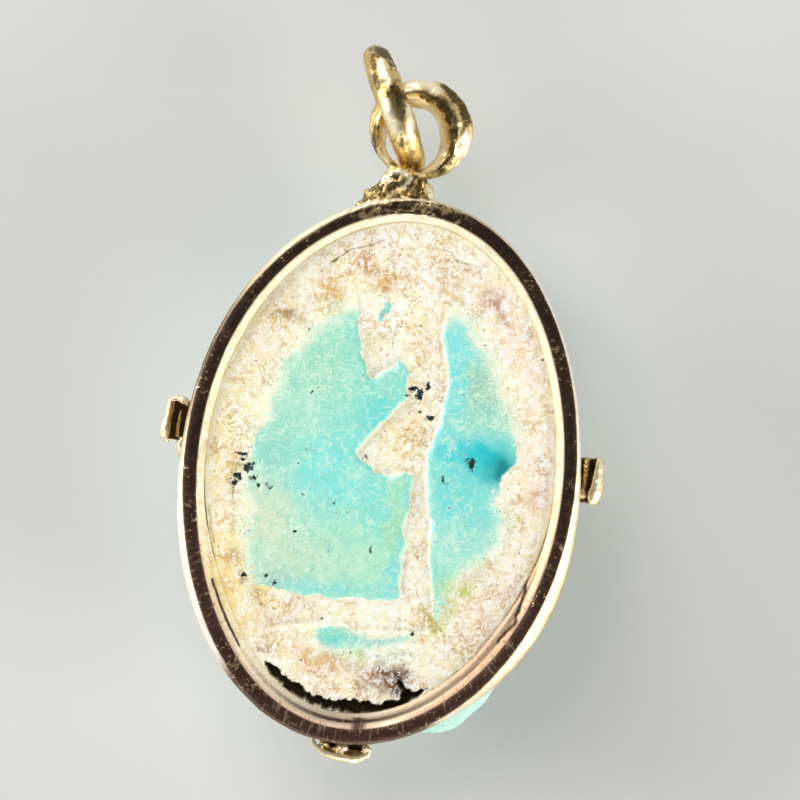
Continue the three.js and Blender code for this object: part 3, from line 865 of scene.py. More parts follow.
def band_section(angle):
    """Places out and heights of the section, one row a place, for each angle."""
    lean, low = wall_lean(angle), lower_end(angle)
    out, height = [], []
    for row, share in enumerate(WALL_SHARES):
        out.append(share * lean)
        chamfer = BAND_TOP - 0.08 - 0.75 * lean * share - 0.1 * share ** 4
        height.append(np.full(len(angle), WALL_FEET[row]) if row < len(WALL_FEET) else chamfer)
    for upper, lower in zip(TOP_UPPER, TOP_LOWER):
        out.append(upper[0] + (lower[0] - upper[0]) * low)
        height.append(upper[1] + (lower[1] - upper[1]) * low)
    return np.array(out + out[:1]), np.array(height + height[:1])


def band_strip():
    """A closed strip rolled round the oval; its lower end carries a second lip."""
    count = len(WALL_SHARES) + len(TOP_UPPER)

    def place(along, across):
        angle = along * 2 * math.pi
        outs, heights = band_section(angle)
        step = (across * count) % count
        row = np.floor(step).astype(int)
        part = step - row
        which = np.arange(len(angle))
        out = outs[row, which] * (1 - part) + outs[row + 1, which] * part
        height = heights[row, which] * (1 - part) + heights[row + 1, which] * part
        x, y = band_point(angle, out)
        return np.column_stack([x, y, height])

    piece = rolled_sheet("bezel_band", BAND_STEPS, count * 3, place)
    weld(piece)
    return piece


def band():
    """The band with its dents and solder runs, and what its finish needs to know."""
    piece = band_strip()
    points = points_of(piece)
    x, y, height = points.T
    out = out_of_band(points)
    wobble = roughness_at(points, 0.3, seed=13)
    wander = np.column_stack([wobble, -wobble, wobble * 0]) * 0.16
    runs = np.zeros(len(points))
    for path, wide, tall in SOLDER_RUNS:
        run = stroke(points + wander, path, wide) * tall * 14 * (0.6 + 0.8 * np.abs(wobble))
        runs = np.maximum(runs, run)
    soldered = smooth_step(8.1, 8.5, y) * smooth_step(2.6, 1.6, np.abs(x + 0.5))
    on_top = smooth_step(6.9, 7.05, height)
    dents = roughness_at(points, 1.3, seed=11) * 0.014 + roughness_at(points, 0.3, seed=12) * 0.014
    lumps = roughness_at(points, 0.22, seed=14) * 0.035 * soldered * (out > -BAND_TOP_WIDTH)
    shown = smooth_step(BAND_BOTTOM, BAND_BOTTOM + 0.3, height) * (out > -0.8)
    push_out(piece, np.minimum(dents + lumps, 0.05) * shown + np.minimum(runs, 1) * 0.03 * on_top)

    angle = way_round(points)
    low = lower_end(angle)
    at_foot, at_low_right = hump(angle, -92, 24), hump(angle, -40, 50)

    # Brown tarnish and painted dark reflection on the flat top, painted dark reflection on part of
    # the wall, and painted shade deep between band and stone.
    bright_edge = 0.02 - 0.12 * hump(angle, 120, 24) - 0.04 * hump(angle, -20, 40)
    top = smooth_step(-0.46, -0.42, out) * smooth_step(bright_edge + 0.01, bright_edge - 0.03, out)
    foot = smooth_step(0.62, 0.48, np.abs(x + 0.75) / BAND_HALF_WIDTH) * (y < 0)
    dim = np.clip(hump(angle, 158, 20) + 0.4 * hump(angle, 75, 20) + foot, 0, 1)
    wall = smooth_step(bright_edge - 0.04, bright_edge - 0.01, out) * dim
    deep = 1 - smooth_step(6.0, 6.6, height)
    tarnish = np.maximum(np.maximum(top, wall * 0.9), deep * 0.6)
    crumbs = smooth_step(0.22, 0.4, roughness_at(points, 0.2, seed=15)) * soldered * 0.7
    tarnish = tarnish * (1 - np.maximum(smooth_step(0.2, 0.8, runs) * 0.85, crumbs) * on_top)
    # Painted shade in the groove at the foot; the slot at the foot and the cracks are dark as
    # well.
    groove = smooth_step(-0.6, -0.64, out) * smooth_step(-0.77, -0.73, out) * at_foot
    slot = np.exp(-(((x - 0.3) / 0.24) ** 4)) * (y < -8.15)
    crack = nearest_line(points + wander * 0.3, DARK_LINES)
    crack = (1 - smooth_step(-0.01, 0.04, crack)) * (out < -0.44)
    for dark in (groove, slot * 0.95, crack):
        tarnish = np.maximum(tarnish, dark)

    # Painted highlight on the outer edge and on the lip, a rosy tone on the lip toward the lower
    # end, and the cream strip along the lip's inner side.
    outer = smooth_step(bright_edge - 0.02, bright_edge + 0.02, out)
    outer = outer * smooth_step(6.75, 6.95, height) * (1 - 0.3 * hump(angle, -35, 45))
    inner = smooth_step(-0.42, -0.45, out)
    strip = smooth_step(-0.47, -0.51, out + 0.05 * low) * (1 - 0.85 * at_low_right)
    drop = spot(points, 1.0, -8.05, 0.75, 0.45)
    lit = inner * (1 - strip) * (0.6 - 0.4 * low + 0.4 * drop)
    keep_values(
        piece, tarnish=tarnish, strip=strip, strip_grey=at_foot,
        rosy=inner * np.maximum(low, at_low_right) * (1 - strip) * (1 - drop),
        right=at_low_right, bright=np.maximum(outer, lit),
        yellow=np.maximum(hump(angle, -25, 35), hump(angle, 115, 30)),
        low_end=low, way_round=angle, way_out=out)
    keep_colour(piece, "bare_tone", toned(points, BARE_GROUND, BARE_TONES))
    return piece


# Loop, solder and jump ring

def ring_piece(name, turns, around, place):
    """A ring made from a torus; place gets the angles round the ring and round its wire."""
    piece = primitive(
        name, bpy.ops.mesh.primitive_torus_add,
        major_segments=turns, minor_segments=around, major_radius=1, minor_radius=0.25)
    unit = unit_points(piece)
    turn = np.arctan2(unit[:, 1], unit[:, 0])
    wire = np.arctan2(unit[:, 2], np.hypot(unit[:, 0], unit[:, 1]) - 1)
    put_points(piece, place(turn, wire))
    return piece


def oval_point(centre, half, turn):
    """A place on an oval with the given middle and half sizes."""
    return centre[0] + half[0] * np.cos(turn), centre[1] + half[1] * np.sin(turn)


def loop_wire(turn, wire):
    """The fixed loop: thick on the right, thinner on the left."""
    out_x, out_y = oval_point(LOOP_CENTRE, LOOP_HALF, turn)
    in_x, in_y = oval_point(HOLE_CENTRE, HOLE_HALF, turn)
    share = 0.5 + 0.5 * np.cos(wire)
    x = in_x + (out_x - in_x) * share
    y = in_y + (out_y - in_y) * share
    ridge = 1 - np.abs(np.cos(wire)) ** 1.3
    rise = np.where(np.sin(wire) > 0, 0.75 * ridge + 0.25 * np.sin(wire), np.sin(wire))
    return np.column_stack([x, y, LOOP_LEVEL + LOOP_HALF_HEIGHT * rise])


def remeshed(piece, size, smoothing=2):
    """One closed skin over everything in the piece."""
    only(piece)
    skin = piece.modifiers.new("skin", "REMESH")
    skin.mode = "VOXEL"
    skin.voxel_size = size * MM
    bpy.ops.object.modifier_apply(modifier=skin.name)
    ease = piece.modifiers.new("ease", "SMOOTH")
    ease.factor = 0.5
    ease.iterations = smoothing
    bpy.ops.object.modifier_apply(modifier=ease.name)


def roughen(piece, *layers, most=1.0):
    """Moves a piece's skin in and out; each layer is a size, a depth and a seed."""
    points = points_of(piece)
    moved = sum(roughness_at(points, size, seed) * depth for size, depth, seed in layers)
    push_out(piece, np.minimum(moved, most))


def lump(name, fineness):
    """A round lump to be shaped, with its points in its own units."""
    piece = primitive(
        name, bpy.ops.mesh.primitive_ico_sphere_add, subdivisions=fineness, radius=1)
    return piece, unit_points(piece)


def solder_mound():
    """Rough solder that spreads from the loop down over the band."""
    piece, unit = lump("solder", 6)
    boxy = np.sign(unit) * np.abs(unit) ** 0.8
    height = boxy[:, 1] * 0.5 + 0.5
    left = 0.8 + 1.25 * (1 - height) ** 2
    right = 0.95 + 0.6 * (1 - height) ** 3
    x = MOUND_AT[0] + 0.15 * height + np.where(boxy[:, 0] < 0, left, right) * boxy[:, 0]
    y = MOUND_AT[1] + boxy[:, 1] * 0.78 - 0.08 * (x + 0.4) ** 2
    z = MOUND_AT[2] + boxy[:, 2] * (0.5 + 0.15 * height)
    put_points(piece, np.column_stack([x, y, z]))
    roughen(piece, (0.7, 0.17, 21), (0.4, 0.11, 22))
    return piece


# Where loop and ring carry painted highlights, and where they are painted darker: lines and
# widths.
LOOP_BRIGHT = [
    ([(-0.6, 12.75), (-0.37, 12.95), (0.1, 12.95), (0.33, 12.75)], 0.2),
    ([(-0.4, 12.39), (0.21, 12.15), (0.5, 11.85), (0.68, 11.4), (0.8, 10.9), (0.6, 10.5)], 0.13),
    ([(1.5, 11.45), (1.6, 10.9), (1.5, 10.45), (1.2, 10.1)], 0.16),
    ([(1.15, 11.2), (1.2, 10.75)], 0.05),
    ([(-1.54, 10.17), (-1.32, 9.75), (-1.0, 9.66)], 0.17),
    ([(-1.29, 11.27), (-1.2, 10.8), (-1.0, 10.3)], 0.1),
    ([(0.65, 10.4), (0.1, 9.95)], 0.1),
    ([(-1.5, 8.75), (-1.0, 8.9), (-0.37, 9.45), (-0.17, 9.74)], 0.08),
    ([(0.45, 9.55), (0.67, 9.11)], 0.13),
    ([(-0.9, 9.9), (-0.5, 9.95), (-0.2, 9.75)], 0.09),
]
LOOP_DARK = [
    ([(-0.1, 12.5), (0.42, 12.39), (0.75, 12.1), (0.9, 11.8)], 0.2),
    ([(0.55, 12.94), (1.12, 12.51), (1.45, 11.9)], 0.22),
    ([(1.06, 11.5), (1.06, 10.66), (0.8, 10.2)], 0.16),
    ([(-1.53, 11.3), (-1.5, 10.45)], 0.14),
]
RING_BRIGHT = [
    ([(-1.62, 13.5), (-1.45, 13.0), (-1.28, 12.72)], 0.13),
    ([(-1.35, 12.0), (-1.1, 11.6), (-0.85, 11.2)], 0.17),
    ([(-0.5, 12.0), (-0.39, 11.6), (-0.36, 11.1)], 0.14),
]
RING_DARK = [
    ([(-1.9, 13.6), (-1.75, 12.9), (-1.6, 12.6)], 0.12),
    ([(-1.2, 12.7), (-0.8, 12.3), (-0.7, 11.9)], 0.18),
    ([(-1.7, 13.85), (-1.2, 13.6)], 0.35),
    ([(-0.72, 11.3), (-0.6, 10.8)], 0.08),
]


def marked(piece, lines):
    """How far places lie under the given lines."""
    points = points_of(piece)
    share = np.zeros(len(points))
    for path, wide in lines:
        share = np.maximum(share, stroke(points, path, wide))
    return share


def facing_up(piece):
    """1 where a piece faces up, and 0 on its sides and below."""
    return smooth_step(0.0, 0.45, normals_of(piece)[:, 2])


def hanging_loop():
    """The fixed loop in one skin with its solder, which is rougher and darker than the wire."""
    loop = ring_piece("hanging_loop_gold", 160, 40, loop_wire)
    piece = joined("hanging_loop_gold", loop, solder_mound())
    remeshed(piece, 0.04)
    soldered = smooth_step(10.25, 9.7, points_of(piece)[:, 1])
    roughen(piece, (0.9, 0.05, 23), (0.3, 0.025, 24))
    push_out(piece, roughness_at(points_of(piece), 0.2, seed=25) * 0.008 * soldered)
    # Painted highlights along the traced lines where the loop faces up; darker along the dark
    # lines and over the solder.
    keep_values(
        piece, polish=marked(piece, LOOP_BRIGHT) * facing_up(piece),
        patina=np.clip(marked(piece, LOOP_DARK) + soldered * 0.7, 0, 1))
    return piece


def jump_ring():
    """A round wire ring that stands upright in the loop."""
    def place(turn, wire):
        thick = RING_WIRE * (1 - 0.05 * np.cos(2 * turn))
        reach = RING_RADIUS + thick * np.cos(wire)
        across, side = reach * np.cos(turn), thick * np.sin(wire)
        x = RING_AT[0] - across * math.sin(RING_TURN) + side * math.cos(RING_TURN)
        y = RING_AT[1] + across * math.cos(RING_TURN) + side * math.sin(RING_TURN)
        return np.column_stack([x, y, RING_LEVEL + reach * np.sin(turn)])

    piece = ring_piece("jump_ring_gold", 220, 56, place)
    weld(piece)
    roughen(piece, (0.9, 0.05, 31), (0.3, 0.03, 32), (0.1, 0.012, 33), most=0.02)
    # Painted highlights along the traced lines where the ring faces up; darker along the dark
    # lines.
    keep_values(
        piece, polish=marked(piece, RING_BRIGHT) * facing_up(piece),
        patina=0.3 + 0.6 * marked(piece, RING_DARK))
    return piece


# Claws

def back_reach(direction, height):
    """How far the back reaches from its axis in a direction, at a height below its widest."""
    shares, heights = zip(*(p for p in BACK_PROFILE if p[1] <= BACK_WIDEST))
    return back_radius(direction, np.interp(height, heights, shares))


def flank_out(foot, out, height):
    """How far the stone's flank is from a place on the band's oval, measured outward."""
    near, far = -3.0, 3.0
    for _ in range(30):
        middle = (near + far) / 2
        x, y = foot + middle * out
        y -= REST_SHIFT * (1 - smooth_step(0, BACK_WIDEST, height))
        if math.hypot(x, y) < back_reach(math.atan2(y, x), height):
            near = middle
        else:
            far = middle
    return far


def cut_cube(name):
    """A cube of side 2 with finely cut faces, and its points."""
    piece = primitive(name, bpy.ops.mesh.primitive_cube_add, size=2)
    bpy.ops.object.mode_set(mode="EDIT")
    bpy.ops.mesh.subdivide(number_cuts=15)
    bpy.ops.object.mode_set(mode="OBJECT")
    return piece, unit_points(piece)


def along_path(path, share):
    """Place and direction at a share of a path's length."""
    path = np.array(path, float)
    stops = running(np.linalg.norm(np.diff(path, axis=0), axis=1))
    at = share * stops[-1]
    reach = stops[-1] * 0.05

    def place(at):
        return np.column_stack([np.interp(at, stops, column) for column in path.T])

    ahead = place(np.minimum(at + reach, stops[-1]))
    run = ahead - place(np.maximum(at - reach, 0))
    return place(at), run / np.linalg.norm(run, axis=1)[:, None]


def strap(name, path, thick, wide):
    """A flat bar along (out, height) places."""
    piece, unit = cut_cube(name)
    middle, run = along_path(path, unit[:, 0] * 0.5 + 0.5)
    side = unit[:, 1] * thick / 2
    out = middle[:, 0] + side * run[:, 1]
    height = middle[:, 1] - side * run[:, 0]
    put_points(piece, np.column_stack([out, unit[:, 2] * wide / 2, height]))
    return piece


def rod(name, path, radius, tall=1.0, lean=(0, 0)):
    """A round bar through places on the object; its top leans so that it slopes one way."""
    piece, unit = cut_cube(name)
    share = unit[:, 0] * 0.5 + 0.5
    middle, run = along_path(path, share)
    a = unit[:, 1] * np.sqrt(1 - unit[:, 2] ** 2 / 2)
    b = unit[:, 2] * np.sqrt(1 - unit[:, 1] ** 2 / 2)
    radii = np.interp(share, np.linspace(0, 1, len(radius)), radius)
    radii = radii * np.sqrt(1 - unit[:, 0] ** 8 * 0.75)
    side = np.column_stack([-run[:, 1], run[:, 0]]) * (a * radii)[:, None]
    z = middle[:, 2] + b * radii * tall - side @ lean
    put_points(piece, np.column_stack([middle[:, :2] + side, z]))
    return piece


def bead(name, place, size, seed):
    """A lump of solder."""
    piece, unit = lump(name, 4)
    put_points(piece, unit * size + place)
    roughen(piece, (0.25, 0.06, seed))
    return piece


def claw(name, direction, width, reach, top, extras):
    """A claw that stands off the band, rises beside it and grips the stone below."""
    angle = math.radians(direction)
    foot = np.array(band_point(angle, 0.0))
    out = band_point(angle, 1.0) - foot
    edge = reach - CLAW_THICK / 2
    shoulder = (CLAW_TIP + BAND_BOTTOM) / 2
    grip_path = [
        (flank_out(foot, out, height) + CLAW_GAP + CLAW_THICK / 2, height)
        for height in (CLAW_TIP, shoulder)
    ]
    grip_path += [(edge, BAND_BOTTOM), (edge, top)]
    grip = strap(name, grip_path, CLAW_THICK, width)
    floor = CLAW_FLOOR - CLAW_THICK / 2
    shelf_path = [(wall_lean(angle) + PLAY, floor), (edge, floor)]
    shelf = strap("shelf", shelf_path, CLAW_THICK, width)
    for part in (grip, shelf):
        ahead, side, height = points_of(part).T
        x = foot[0] + ahead * out[0] - side * out[1]
        y = foot[1] + ahead * out[1] + side * out[0]
        put_points(part, np.column_stack([x, y, height]))
    piece = joined(name, grip, shelf, *extras)
    remeshed(piece, 0.034, 3)
    roughen(piece, (0.5, 0.03, direction), (0.16, 0.016, direction + 1))
    points = points_of(piece)
    height = points[:, 2]
    # Painted shade low inside the claw, and a painted highlight on its top faces.
    pocket = smooth_step(CLAW_FLOOR + 0.32, CLAW_FLOOR + 0.12, height)
    pocket = pocket * smooth_step(edge, edge - 0.1, out_of_band(points))
    pocket = pocket * smooth_step(BAND_BOTTOM, BAND_BOTTOM + 0.3, height)
    keep_values(
        piece, patina=0.3 + 0.7 * pocket,
        polish=smooth_step(6.35, 6.6, height) * 0.7 * facing_up(piece))
    return piece


def claw_left():
    """An open box: wall and bar with a painted highlight, painted shade inside, solder at its
    lower end.
    """
    z = 6.6
    extras = [
        rod("wall", [(-7.19, 1.5, z), (-7.24, 1.0, z), (-7.27, 0.6, z), (-7.24, 0.25, z),
                     (-7.08, 0.12, z)], [0.09, 0.09, 0.1, 0.14, 0.1], lean=(-0.7, 0)),
        rod("bar", [(-7.2, 1.54, z), (-6.91, 1.58, z), (-6.64, 1.5, z), (-6.59, 1.34, z)],
            [0.08, 0.09, 0.13, 0.07], lean=(0, 0.6)),
        rod("fold", [(-6.81, 1.24, 6.3), (-6.84, 0.71, 6.35), (-6.83, 0.31, 6.4)],
            [0.03, 0.05, 0.08]),
        rod("seam", [(-6.64, 0.34, 6.4), (-6.7, 0.1, 6.4), (-6.62, -0.2, 6.4),
                     (-6.56, -0.45, 6.4)], [0.1, 0.13, 0.14, 0.08], 1.3),
    ]
    return claw("claw_left_gold", 174.7, 1.35, 0.86, 6.4, extras)


def claw_right():
    """A rounded tab with a painted highlight, beside ridged solder."""
    z = 6.5
    ridges = [
        rod("ridge", [(6.66, y, 6.35), (6.86, y + 0.05, 6.4)], [0.05, 0.075, 0.06], 1.4)
        for y in (1.15, 1.0, 0.85, 0.7, 0.55, 0.4, 0.27)
    ]
    extras = [
        rod("tab", [(7.16, 1.3, z), (7.2, 0.9, z), (7.2, 0.5, z), (7.15, 0.1, z),
                    (7.13, -0.25, z)], [0.1, 0.17, 0.22, 0.25, 0.2], lean=(0.65, 0)),
        bead("drop", (6.74, 0.08, 6.4), (0.17, 0.2, 0.22), 42),
        *ridges,
    ]
    return claw("claw_right_gold", 3.2, 1.5, 0.86, 6.3, extras)


def claw_bottom():
    """A small cup with a thick rolled rim and folds of gold in it."""
    z = 6.5
    extras = [
        rod("rim", [(-1.2, -8.98, z), (-1.04, -9.3, z), (-0.76, -9.5, z), (-0.25, -9.6, z),
                    (0.36, -9.61, z), (0.7, -9.46, z), (0.8, -9.15, z)],
            [0.08, 0.1, 0.11, 0.13, 0.14, 0.13, 0.1], lean=(0, -0.6)),
        bead("fold", (-0.17, -9.27, 6.4), (0.24, 0.17, 0.25), 44),
        bead("drop", (-0.75, -9.2, 6.3), (0.2, 0.14, 0.2), 45),
        bead("knob", (0.64, -9.18, 6.45), (0.12, 0.14, 0.2), 46),
    ]
    return claw("claw_bottom_gold", 269.4, 1.6, 0.52, 6.4, extras)


# Finishes

def gold_finish():
    """Yellow gold with painted highlights on its high places, brown dirt, and painted shade low
    inside the claws.
    """
    finish = Finish("worn_gold")
    broad = finish.grain(1.0, 3)
    fine = finish.grain(0.2, 4, 0.65, distortion=0.5)
    small = finish.grain(0.09, 3, 0.7)
    patina, polish = finish.value("patina"), finish.value("polish")
    colour = finish.mix(broad.step(0.35, 0.65), (0.8, 0.53, 0.17), (0.95, 0.75, 0.35))
    colour = finish.mix(fine.step(0.5, 0.7) * 0.5, colour, (0.36, 0.22, 0.11))
    colour = finish.mix(small.step(0.55, 0.7) * 0.3, colour, (0.3, 0.2, 0.1))
    # Brown dirt, with painted shade low inside the claws; painted highlights lighten it.
    dirt = (patina * 0.9 + (fine - 0.5) * 1.6 + (small - 0.5) * 0.8 - polish * 0.5).step(0.3, 0.75)
    colour = finish.mix(dirt * 0.9, colour, (0.07, 0.048, 0.02))
    # Painted highlight: pale, less metallic gold on the marked places.
    shine = polish * (1 - dirt)
    colour = finish.mix(shine * 0.9, colour, (1.0, 0.93, 0.68))
    bump = finish.bump(fine, 0.03, 0.7, under=finish.bump(small, 0.012, 0.6))
    return finish.surface({
        "Base Color": colour, "Metallic": 1 - shine * 0.45,
        "Roughness": 0.24 + fine * 0.2 + dirt * 0.12, "Normal": bump,
    })


def weathered(finish, bare, rim):
    """Bare stone: warm and cool patches, tan mottles, thin brown curls and white flecks."""
    fine = finish.grain(0.12, 3, 0.65)
    speckle = finish.grain(0.26, 3, 0.6, distortion=0.6)
    second = finish.grain(0.3, 3, 0.6, at=finish.place((1.2, 0.7, 1), 0.7), distortion=0.6)
    patch = finish.grain(0.8, 3, 0.6, at=finish.place(turn=2.0), distortion=0.5)
    broad = finish.grain(0.9, 3)
    worm = finish.grain(0.42, 2, 0.5, at=finish.place(turn=3.0), distortion=2.4)
    cool = patch.step(0.42, 0.58)
    inside = 1 - rim * 0.5
    bare = finish.times(bare, finish.mix(cool, (1.0, 1.0, 0.9), (1.0, 0.99, 1.0)))
    shade = finish.mix(cool, (0.86, 0.72, 0.49), (0.82, 0.71, 0.57))
    mottle = (speckle * 0.7 + second * 0.3 + (fine - 0.5) * 0.5).step(0.5, 0.56)
    strength = (0.3 + (patch * 0.5 + broad * 0.5).step(0.44, 0.58) * 0.6) * inside
    bare = finish.mix(mottle * strength, bare, finish.times(bare, shade))
    curl = (1.3 - worm.apart(0.5) * 18).highest(0).lowest(1)
    curl = curl * (0.35 + broad.step(0.48, 0.6) * 0.65) * inside
    bare = finish.mix(curl * 0.7, bare, finish.times(bare, (0.62, 0.45, 0.27)))
    fleck = (second + (fine - 0.5) * 0.6).step(0.42, 0.52) * (1 - mottle) * (1 - curl)
    return finish.mix(fleck * 0.9, bare, finish.mix(0.75, bare, (1.0, 1.0, 0.98)))


def band_finish():
    """The band: brown tarnish and painted dark reflection on top with fine marks across it,
    painted highlights on the lip and outer wall.
    """
    finish = Finish("tarnished_band")
    low, strip, rosy = (finish.value(name) for name in ("low_end", "strip", "rosy"))
    fine = finish.grain(0.14, 4, 0.7)
    broad = finish.grain(1.1, 3)
    ways = finish.node("ShaderNodeCombineXYZ", {}, {
        "X": finish.value("way_round") * 60, "Y": finish.value("way_out") * 1.6,
    })
    ticks = finish.node("ShaderNodeTexNoise", {}, {"Vector": ways, "Scale": 1.0, "Detail": 2.0})
    ticks = ticks.step(0.55, 0.7)

    gold = finish.mix(broad.step(0.4, 0.6), (0.86, 0.6, 0.27), (1.0, 0.8, 0.46))
    gold = finish.mix(low * broad.step(0.4, 0.6) * 0.4, gold, (0.92, 0.66, 0.46))
    gold = finish.mix(fine.step(0.6, 0.75) * 0.35, gold, (0.4, 0.25, 0.13))

    brown = finish.mix(low, (0.026, 0.014, 0.007), (0.062, 0.028, 0.018))
    brown = finish.mix(broad.step(0.45, 0.65) * 0.7, brown, (0.05, 0.02, 0.008))
    brown = finish.mix(fine.step(0.5, 0.7) * 0.6, brown, (0.1, 0.055, 0.028))
    brown = finish.mix(ticks * (0.06 + low * 0.4), brown, (0.4, 0.28, 0.2))
    chips = (fine + broad * 0.5).step(0.9, 0.96)
    # Brown tarnish with painted dark reflection and painted shade.
    dark = finish.value("tarnish") * (1 - chips * 0.8)

    # Painted highlight, white or yellowish, on the outer edge and the lip.
    bright = finish.value("bright") * (1 - dark)
    pale = finish.mix(finish.value("yellow"), (1.0, 0.93, 0.87), (0.74, 0.7, 0.48))
    pale = finish.mix(fine.step(0.45, 0.7) * 0.5, pale, (0.75, 0.55, 0.36))
    colour = finish.mix(bright, gold, pale)

    streaks = (fine * 0.5 + ticks * 0.3 + broad * 0.3).step(0.45, 0.6)
    lip = finish.mix(finish.value("right"), (0.86, 0.66, 0.5), (0.62, 0.39, 0.24))
    lip = finish.mix(streaks * 0.75, lip, finish.times(lip, (0.6, 0.4, 0.3)))
    colour = finish.mix(rosy, colour, lip)

    cream = weathered(finish, finish.tint("bare_tone"), 0.2)
    cream = finish.mix(0.35, cream, (0.88, 0.77, 0.48))
    cream = finish.mix(finish.value("strip_grey"), cream, (0.36, 0.31, 0.24))
    colour = finish.mix(strip, colour, cream)
    colour = finish.mix(dark, colour, brown)
    rough = 0.22 + fine * 0.12 + dark * 0.25 + strip * 0.3 + bright * 0.22 + rosy * 0.2
    metal = (1 - strip * 0.9 - dark * 0.4 - bright * 0.5 - rosy * 0.4).highest(0)
    bump = finish.bump(fine + ticks * low * 0.6, 0.02, 0.6)
    return finish.surface({
        "Base Color": colour, "Metallic": metal, "Roughness": rough, "Normal": bump,
    })


def stone_finish():
    """Pale stone, worn and stained, with what is left of its turquoise glaze."""
    finish = Finish("glazed_steatite")
    figure, field, rubbed, pit, lost, rim = (
        finish.value(name) for name in ("figure", "field", "rubbed", "pit", "lost", "rim"))
    fine = finish.grain(0.1, 4, 0.7)
    speckle = finish.grain(0.2, 3, 0.65, distortion=0.6)
    worm = finish.grain(0.42, 3, 0.6, distortion=1.4)
    second = finish.grain(0.3, 4, 0.65, at=finish.place((1.2, 0.7, 1), 0.7), distortion=0.4)
    patch = finish.grain(0.6, 3, 0.6, at=finish.place(turn=2.0), distortion=0.5)
    broad = finish.grain(0.9, 3)
    mixed = (fine - 0.5) * 1.2 + (speckle - 0.5) * 1.3

    # Where glaze is left, and the thin haze of it around.
    ragged = mixed + (worm - 0.5) * 0.7 + (broad - 0.5) * 0.9
    kept = (field * 0.95 + ragged * 0.8).step(-0.02, 0.36)
    haze = (field + (broad - 0.5) * 1.2 + mixed * 0.4).step(-0.75, 0.3)
    cut = (figure + (fine - 0.5) * 0.14 + (worm - 0.5) * 0.12).step(-0.03, 0.03)
    glaze_share = kept * (1 - cut) * (1 - lost)

    bare = weathered(finish, finish.tint("bare_tone"), rim)
    # Painted light: the stone is painted lighter and yellower near the rim, where the band shades
    # it.
    bare = finish.mix(rim * 0.45, bare, (1.0, 0.91, 0.62))
    bare = finish.mix(haze * (1 - cut) * 0.4 * (1 - rim), bare, (0.68, 0.84, 0.64))

    # Clouds, veins and patches in the glaze, less where it is thick.
    glaze = finish.tint("glaze_tone")
    clean = 1 + rubbed.lowest(0)
    cloud = (speckle + (fine - 0.5) * 0.5).step(0.5, 0.66) * clean
    glaze = finish.mix(cloud * 0.42, glaze, (0.7, 0.94, 0.78))
    vein = (1 - worm.apart(0.5) * 16).highest(0) * broad.step(0.38, 0.6) * clean
    glaze = finish.mix(vein * 0.3, glaze, (0.74, 0.96, 0.86))
    glaze = finish.mix(second.step(0.5, 0.62) * clean * 0.5, glaze, (0.26, 0.66, 0.56))
    pale = (patch * 0.6 + speckle * 0.4).step(0.5, 0.62) * clean
    glaze = finish.mix(pale * 0.35, glaze, (0.7, 0.9, 0.68))

    # White: fine hatching where it is rubbed, single scratches, and the glaze's fading edge.
    across = finish.grain(0.08, 2, 0.5, at=finish.place((0.2, 1, 1), 0.12))
    along = finish.grain(0.08, 2, 0.5, at=finish.place((1, 0.22, 1), 0.05))
    hatch = across.step(0.56, 0.66).highest(along.step(0.58, 0.68))
    thin = (0.03 - finish.value("scratch") + (fine - 0.5) * 0.1).step(0, 0.03)
    fading = (0.8 - field + (broad - 0.5)).step(0, 0.8) * (speckle + (fine - 0.5)).step(0.45, 0.6)
    white = (hatch * rubbed.highest(0) * 0.6).highest(thin * 0.6).highest(fading * 0.6 * clean)
    glaze = finish.mix(white, glaze, (0.84, 0.94, 0.78))
    # Painted shade: a dark teal line on the glaze just outside the sunk figure's edges.
    edge = (1 - figure.apart(-0.045) * 26).highest(0) * broad.step(0.4, 0.6)
    glaze = finish.mix(edge * 0.6, glaze, (0.12, 0.42, 0.36))

    # Dark lines, pits and painted shade in the hollow of the lost edge lie over both.
    colour = finish.mix(glaze_share, bare, glaze)
    line = 1 - (finish.value("dark_line") + (fine - 0.5) * 0.16).step(-0.03, 0.02)
    line = line * (0.4 + speckle.step(0.4, 0.55) * 0.6)
    colour = finish.mix(line * 0.8, colour, (0.1, 0.06, 0.03))
    speck = (pit * 1.15 + mixed * 1.8).step(0.55, 0.75)
    colour = finish.mix(speck, colour, (0.01, 0.028, 0.024))
    colour = finish.mix(lost, colour, (0.045, 0.03, 0.013))

    bump = finish.bump(speckle, 0.03, 0.4, under=finish.bump(fine, 0.03, 0.5))
    return finish.surface({
        "Base Color": colour, "Roughness": 0.82 - glaze_share * 0.4, "Normal": bump,
        "Coat Weight": glaze_share * 0.15,
    })


# The whole object

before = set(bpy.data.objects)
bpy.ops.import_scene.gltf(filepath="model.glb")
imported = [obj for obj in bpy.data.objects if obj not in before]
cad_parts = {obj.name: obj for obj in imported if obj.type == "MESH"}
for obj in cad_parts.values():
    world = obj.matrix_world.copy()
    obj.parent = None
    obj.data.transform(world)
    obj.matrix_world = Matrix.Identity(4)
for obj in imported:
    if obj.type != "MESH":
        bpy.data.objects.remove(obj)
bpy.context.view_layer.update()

finished(scarab_body(), "scarab", stone_finish())
finished(band(), "bezel_frame", band_finish())
gold = gold_finish()
finished(hanging_loop(), "hanging_loop", gold)
finished(jump_ring(), "jump_ring", gold)
finished(claw_left(), "claw_left", gold)
finished(claw_right(), "claw_right", gold)
finished(claw_bottom(), "claw_bottom", gold)


# Studio

def studio_floor():
    """A plain matt floor under the amulet."""
    floor = primitive("studio_floor", bpy.ops.mesh.primitive_plane_add, size=600 * MM)
    floor.data.materials.append(Finish("pale_floor").surface({
        "Base Color": (0.62, 0.62, 0.61, 1), "Roughness": 0.9,
    }))


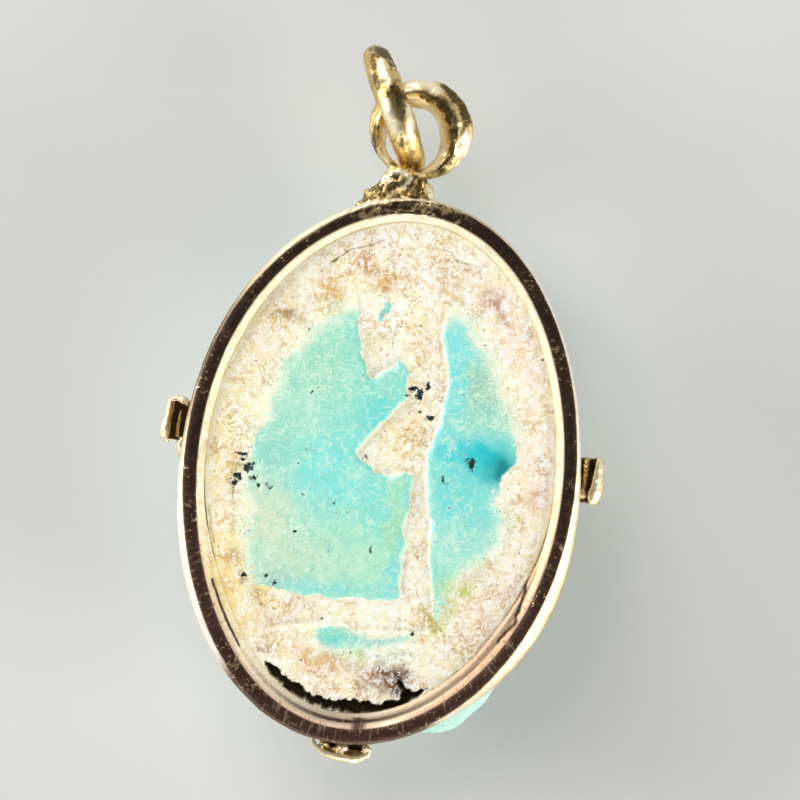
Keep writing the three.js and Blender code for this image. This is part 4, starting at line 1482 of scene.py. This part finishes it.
def area_light(name, place, aim, size, power, colour=(1, 1, 1), glossy=True):
    """A square lamp that looks at a place; sizes are millimetres."""
    lamp = primitive(name, bpy.ops.object.light_add, type="AREA", location=Vector(place) * MM)
    lamp.data.size = size * MM
    lamp.data.energy = power
    lamp.data.color = colour
    lamp.visible_glossy = glossy
    toward = Vector(aim) - Vector(place)
    lamp.rotation_euler = toward.to_track_quat("-Z", "Y").to_euler()


def studio_world():
    """Dim overhead and bright toward the horizon."""
    world = bpy.data.worlds.new("studio")
    bpy.context.scene.world = world
    world.use_nodes = True
    nodes, links = world.node_tree.nodes, world.node_tree.links
    toward = nodes.new("ShaderNodeTexCoord")
    split = nodes.new("ShaderNodeSeparateXYZ")
    ramp = nodes.new("ShaderNodeValToRGB")
    ramp.color_ramp.elements[0].position = 0.15
    ramp.color_ramp.elements[0].color = (0.95, 0.97, 1, 1)
    ramp.color_ramp.elements[1].position = 0.75
    ramp.color_ramp.elements[1].color = (0.05, 0.05, 0.055, 1)
    links.new(toward.outputs["Generated"], split.inputs["Vector"])
    links.new(split.outputs["Z"], ramp.inputs["Fac"])
    links.new(ramp.outputs["Color"], nodes["Background"].inputs["Color"])
    nodes["Background"].inputs["Strength"].default_value = 0.75


def photo_camera():
    """Looks straight down, turned as the picture shows the object."""
    bpy.ops.object.camera_add(
        location=Vector((*PICTURE_CENTRE, PICTURE_LEVEL + CAMERA_HEIGHT)) * MM,
        rotation=(0, 0, PICTURE_TURN))
    camera = bpy.context.object
    camera.data.sensor_width = SENSOR_WIDTH
    camera.data.lens = SENSOR_WIDTH * CAMERA_HEIGHT / (PICTURE_SIDE * PICTURE_SCALE)
    camera.data.clip_start = 1 * MM
    camera.data.clip_end = 10
    bpy.context.scene.camera = camera


bpy.context.scene.view_settings.view_transform = "Standard"
studio_floor()
studio_world()
area_light("overhead", (-40, 60, 140), (0, 0, 5), 90, 0.085, glossy=False)
area_light("left_box", (-130, 20, 55), (0, 0, 6), 70, 0.13, (1, 0.97, 0.94))
area_light("right_box", (125, -40, 50), (0, 0, 6), 70, 0.13, (1, 0.98, 0.93))
area_light("front_box", (10, -140, 55), (0, 0, 6), 60, 0.08)
area_light("back_box", (-70, 125, 55), (0, 0, 6), 60, 0.08)
photo_camera()
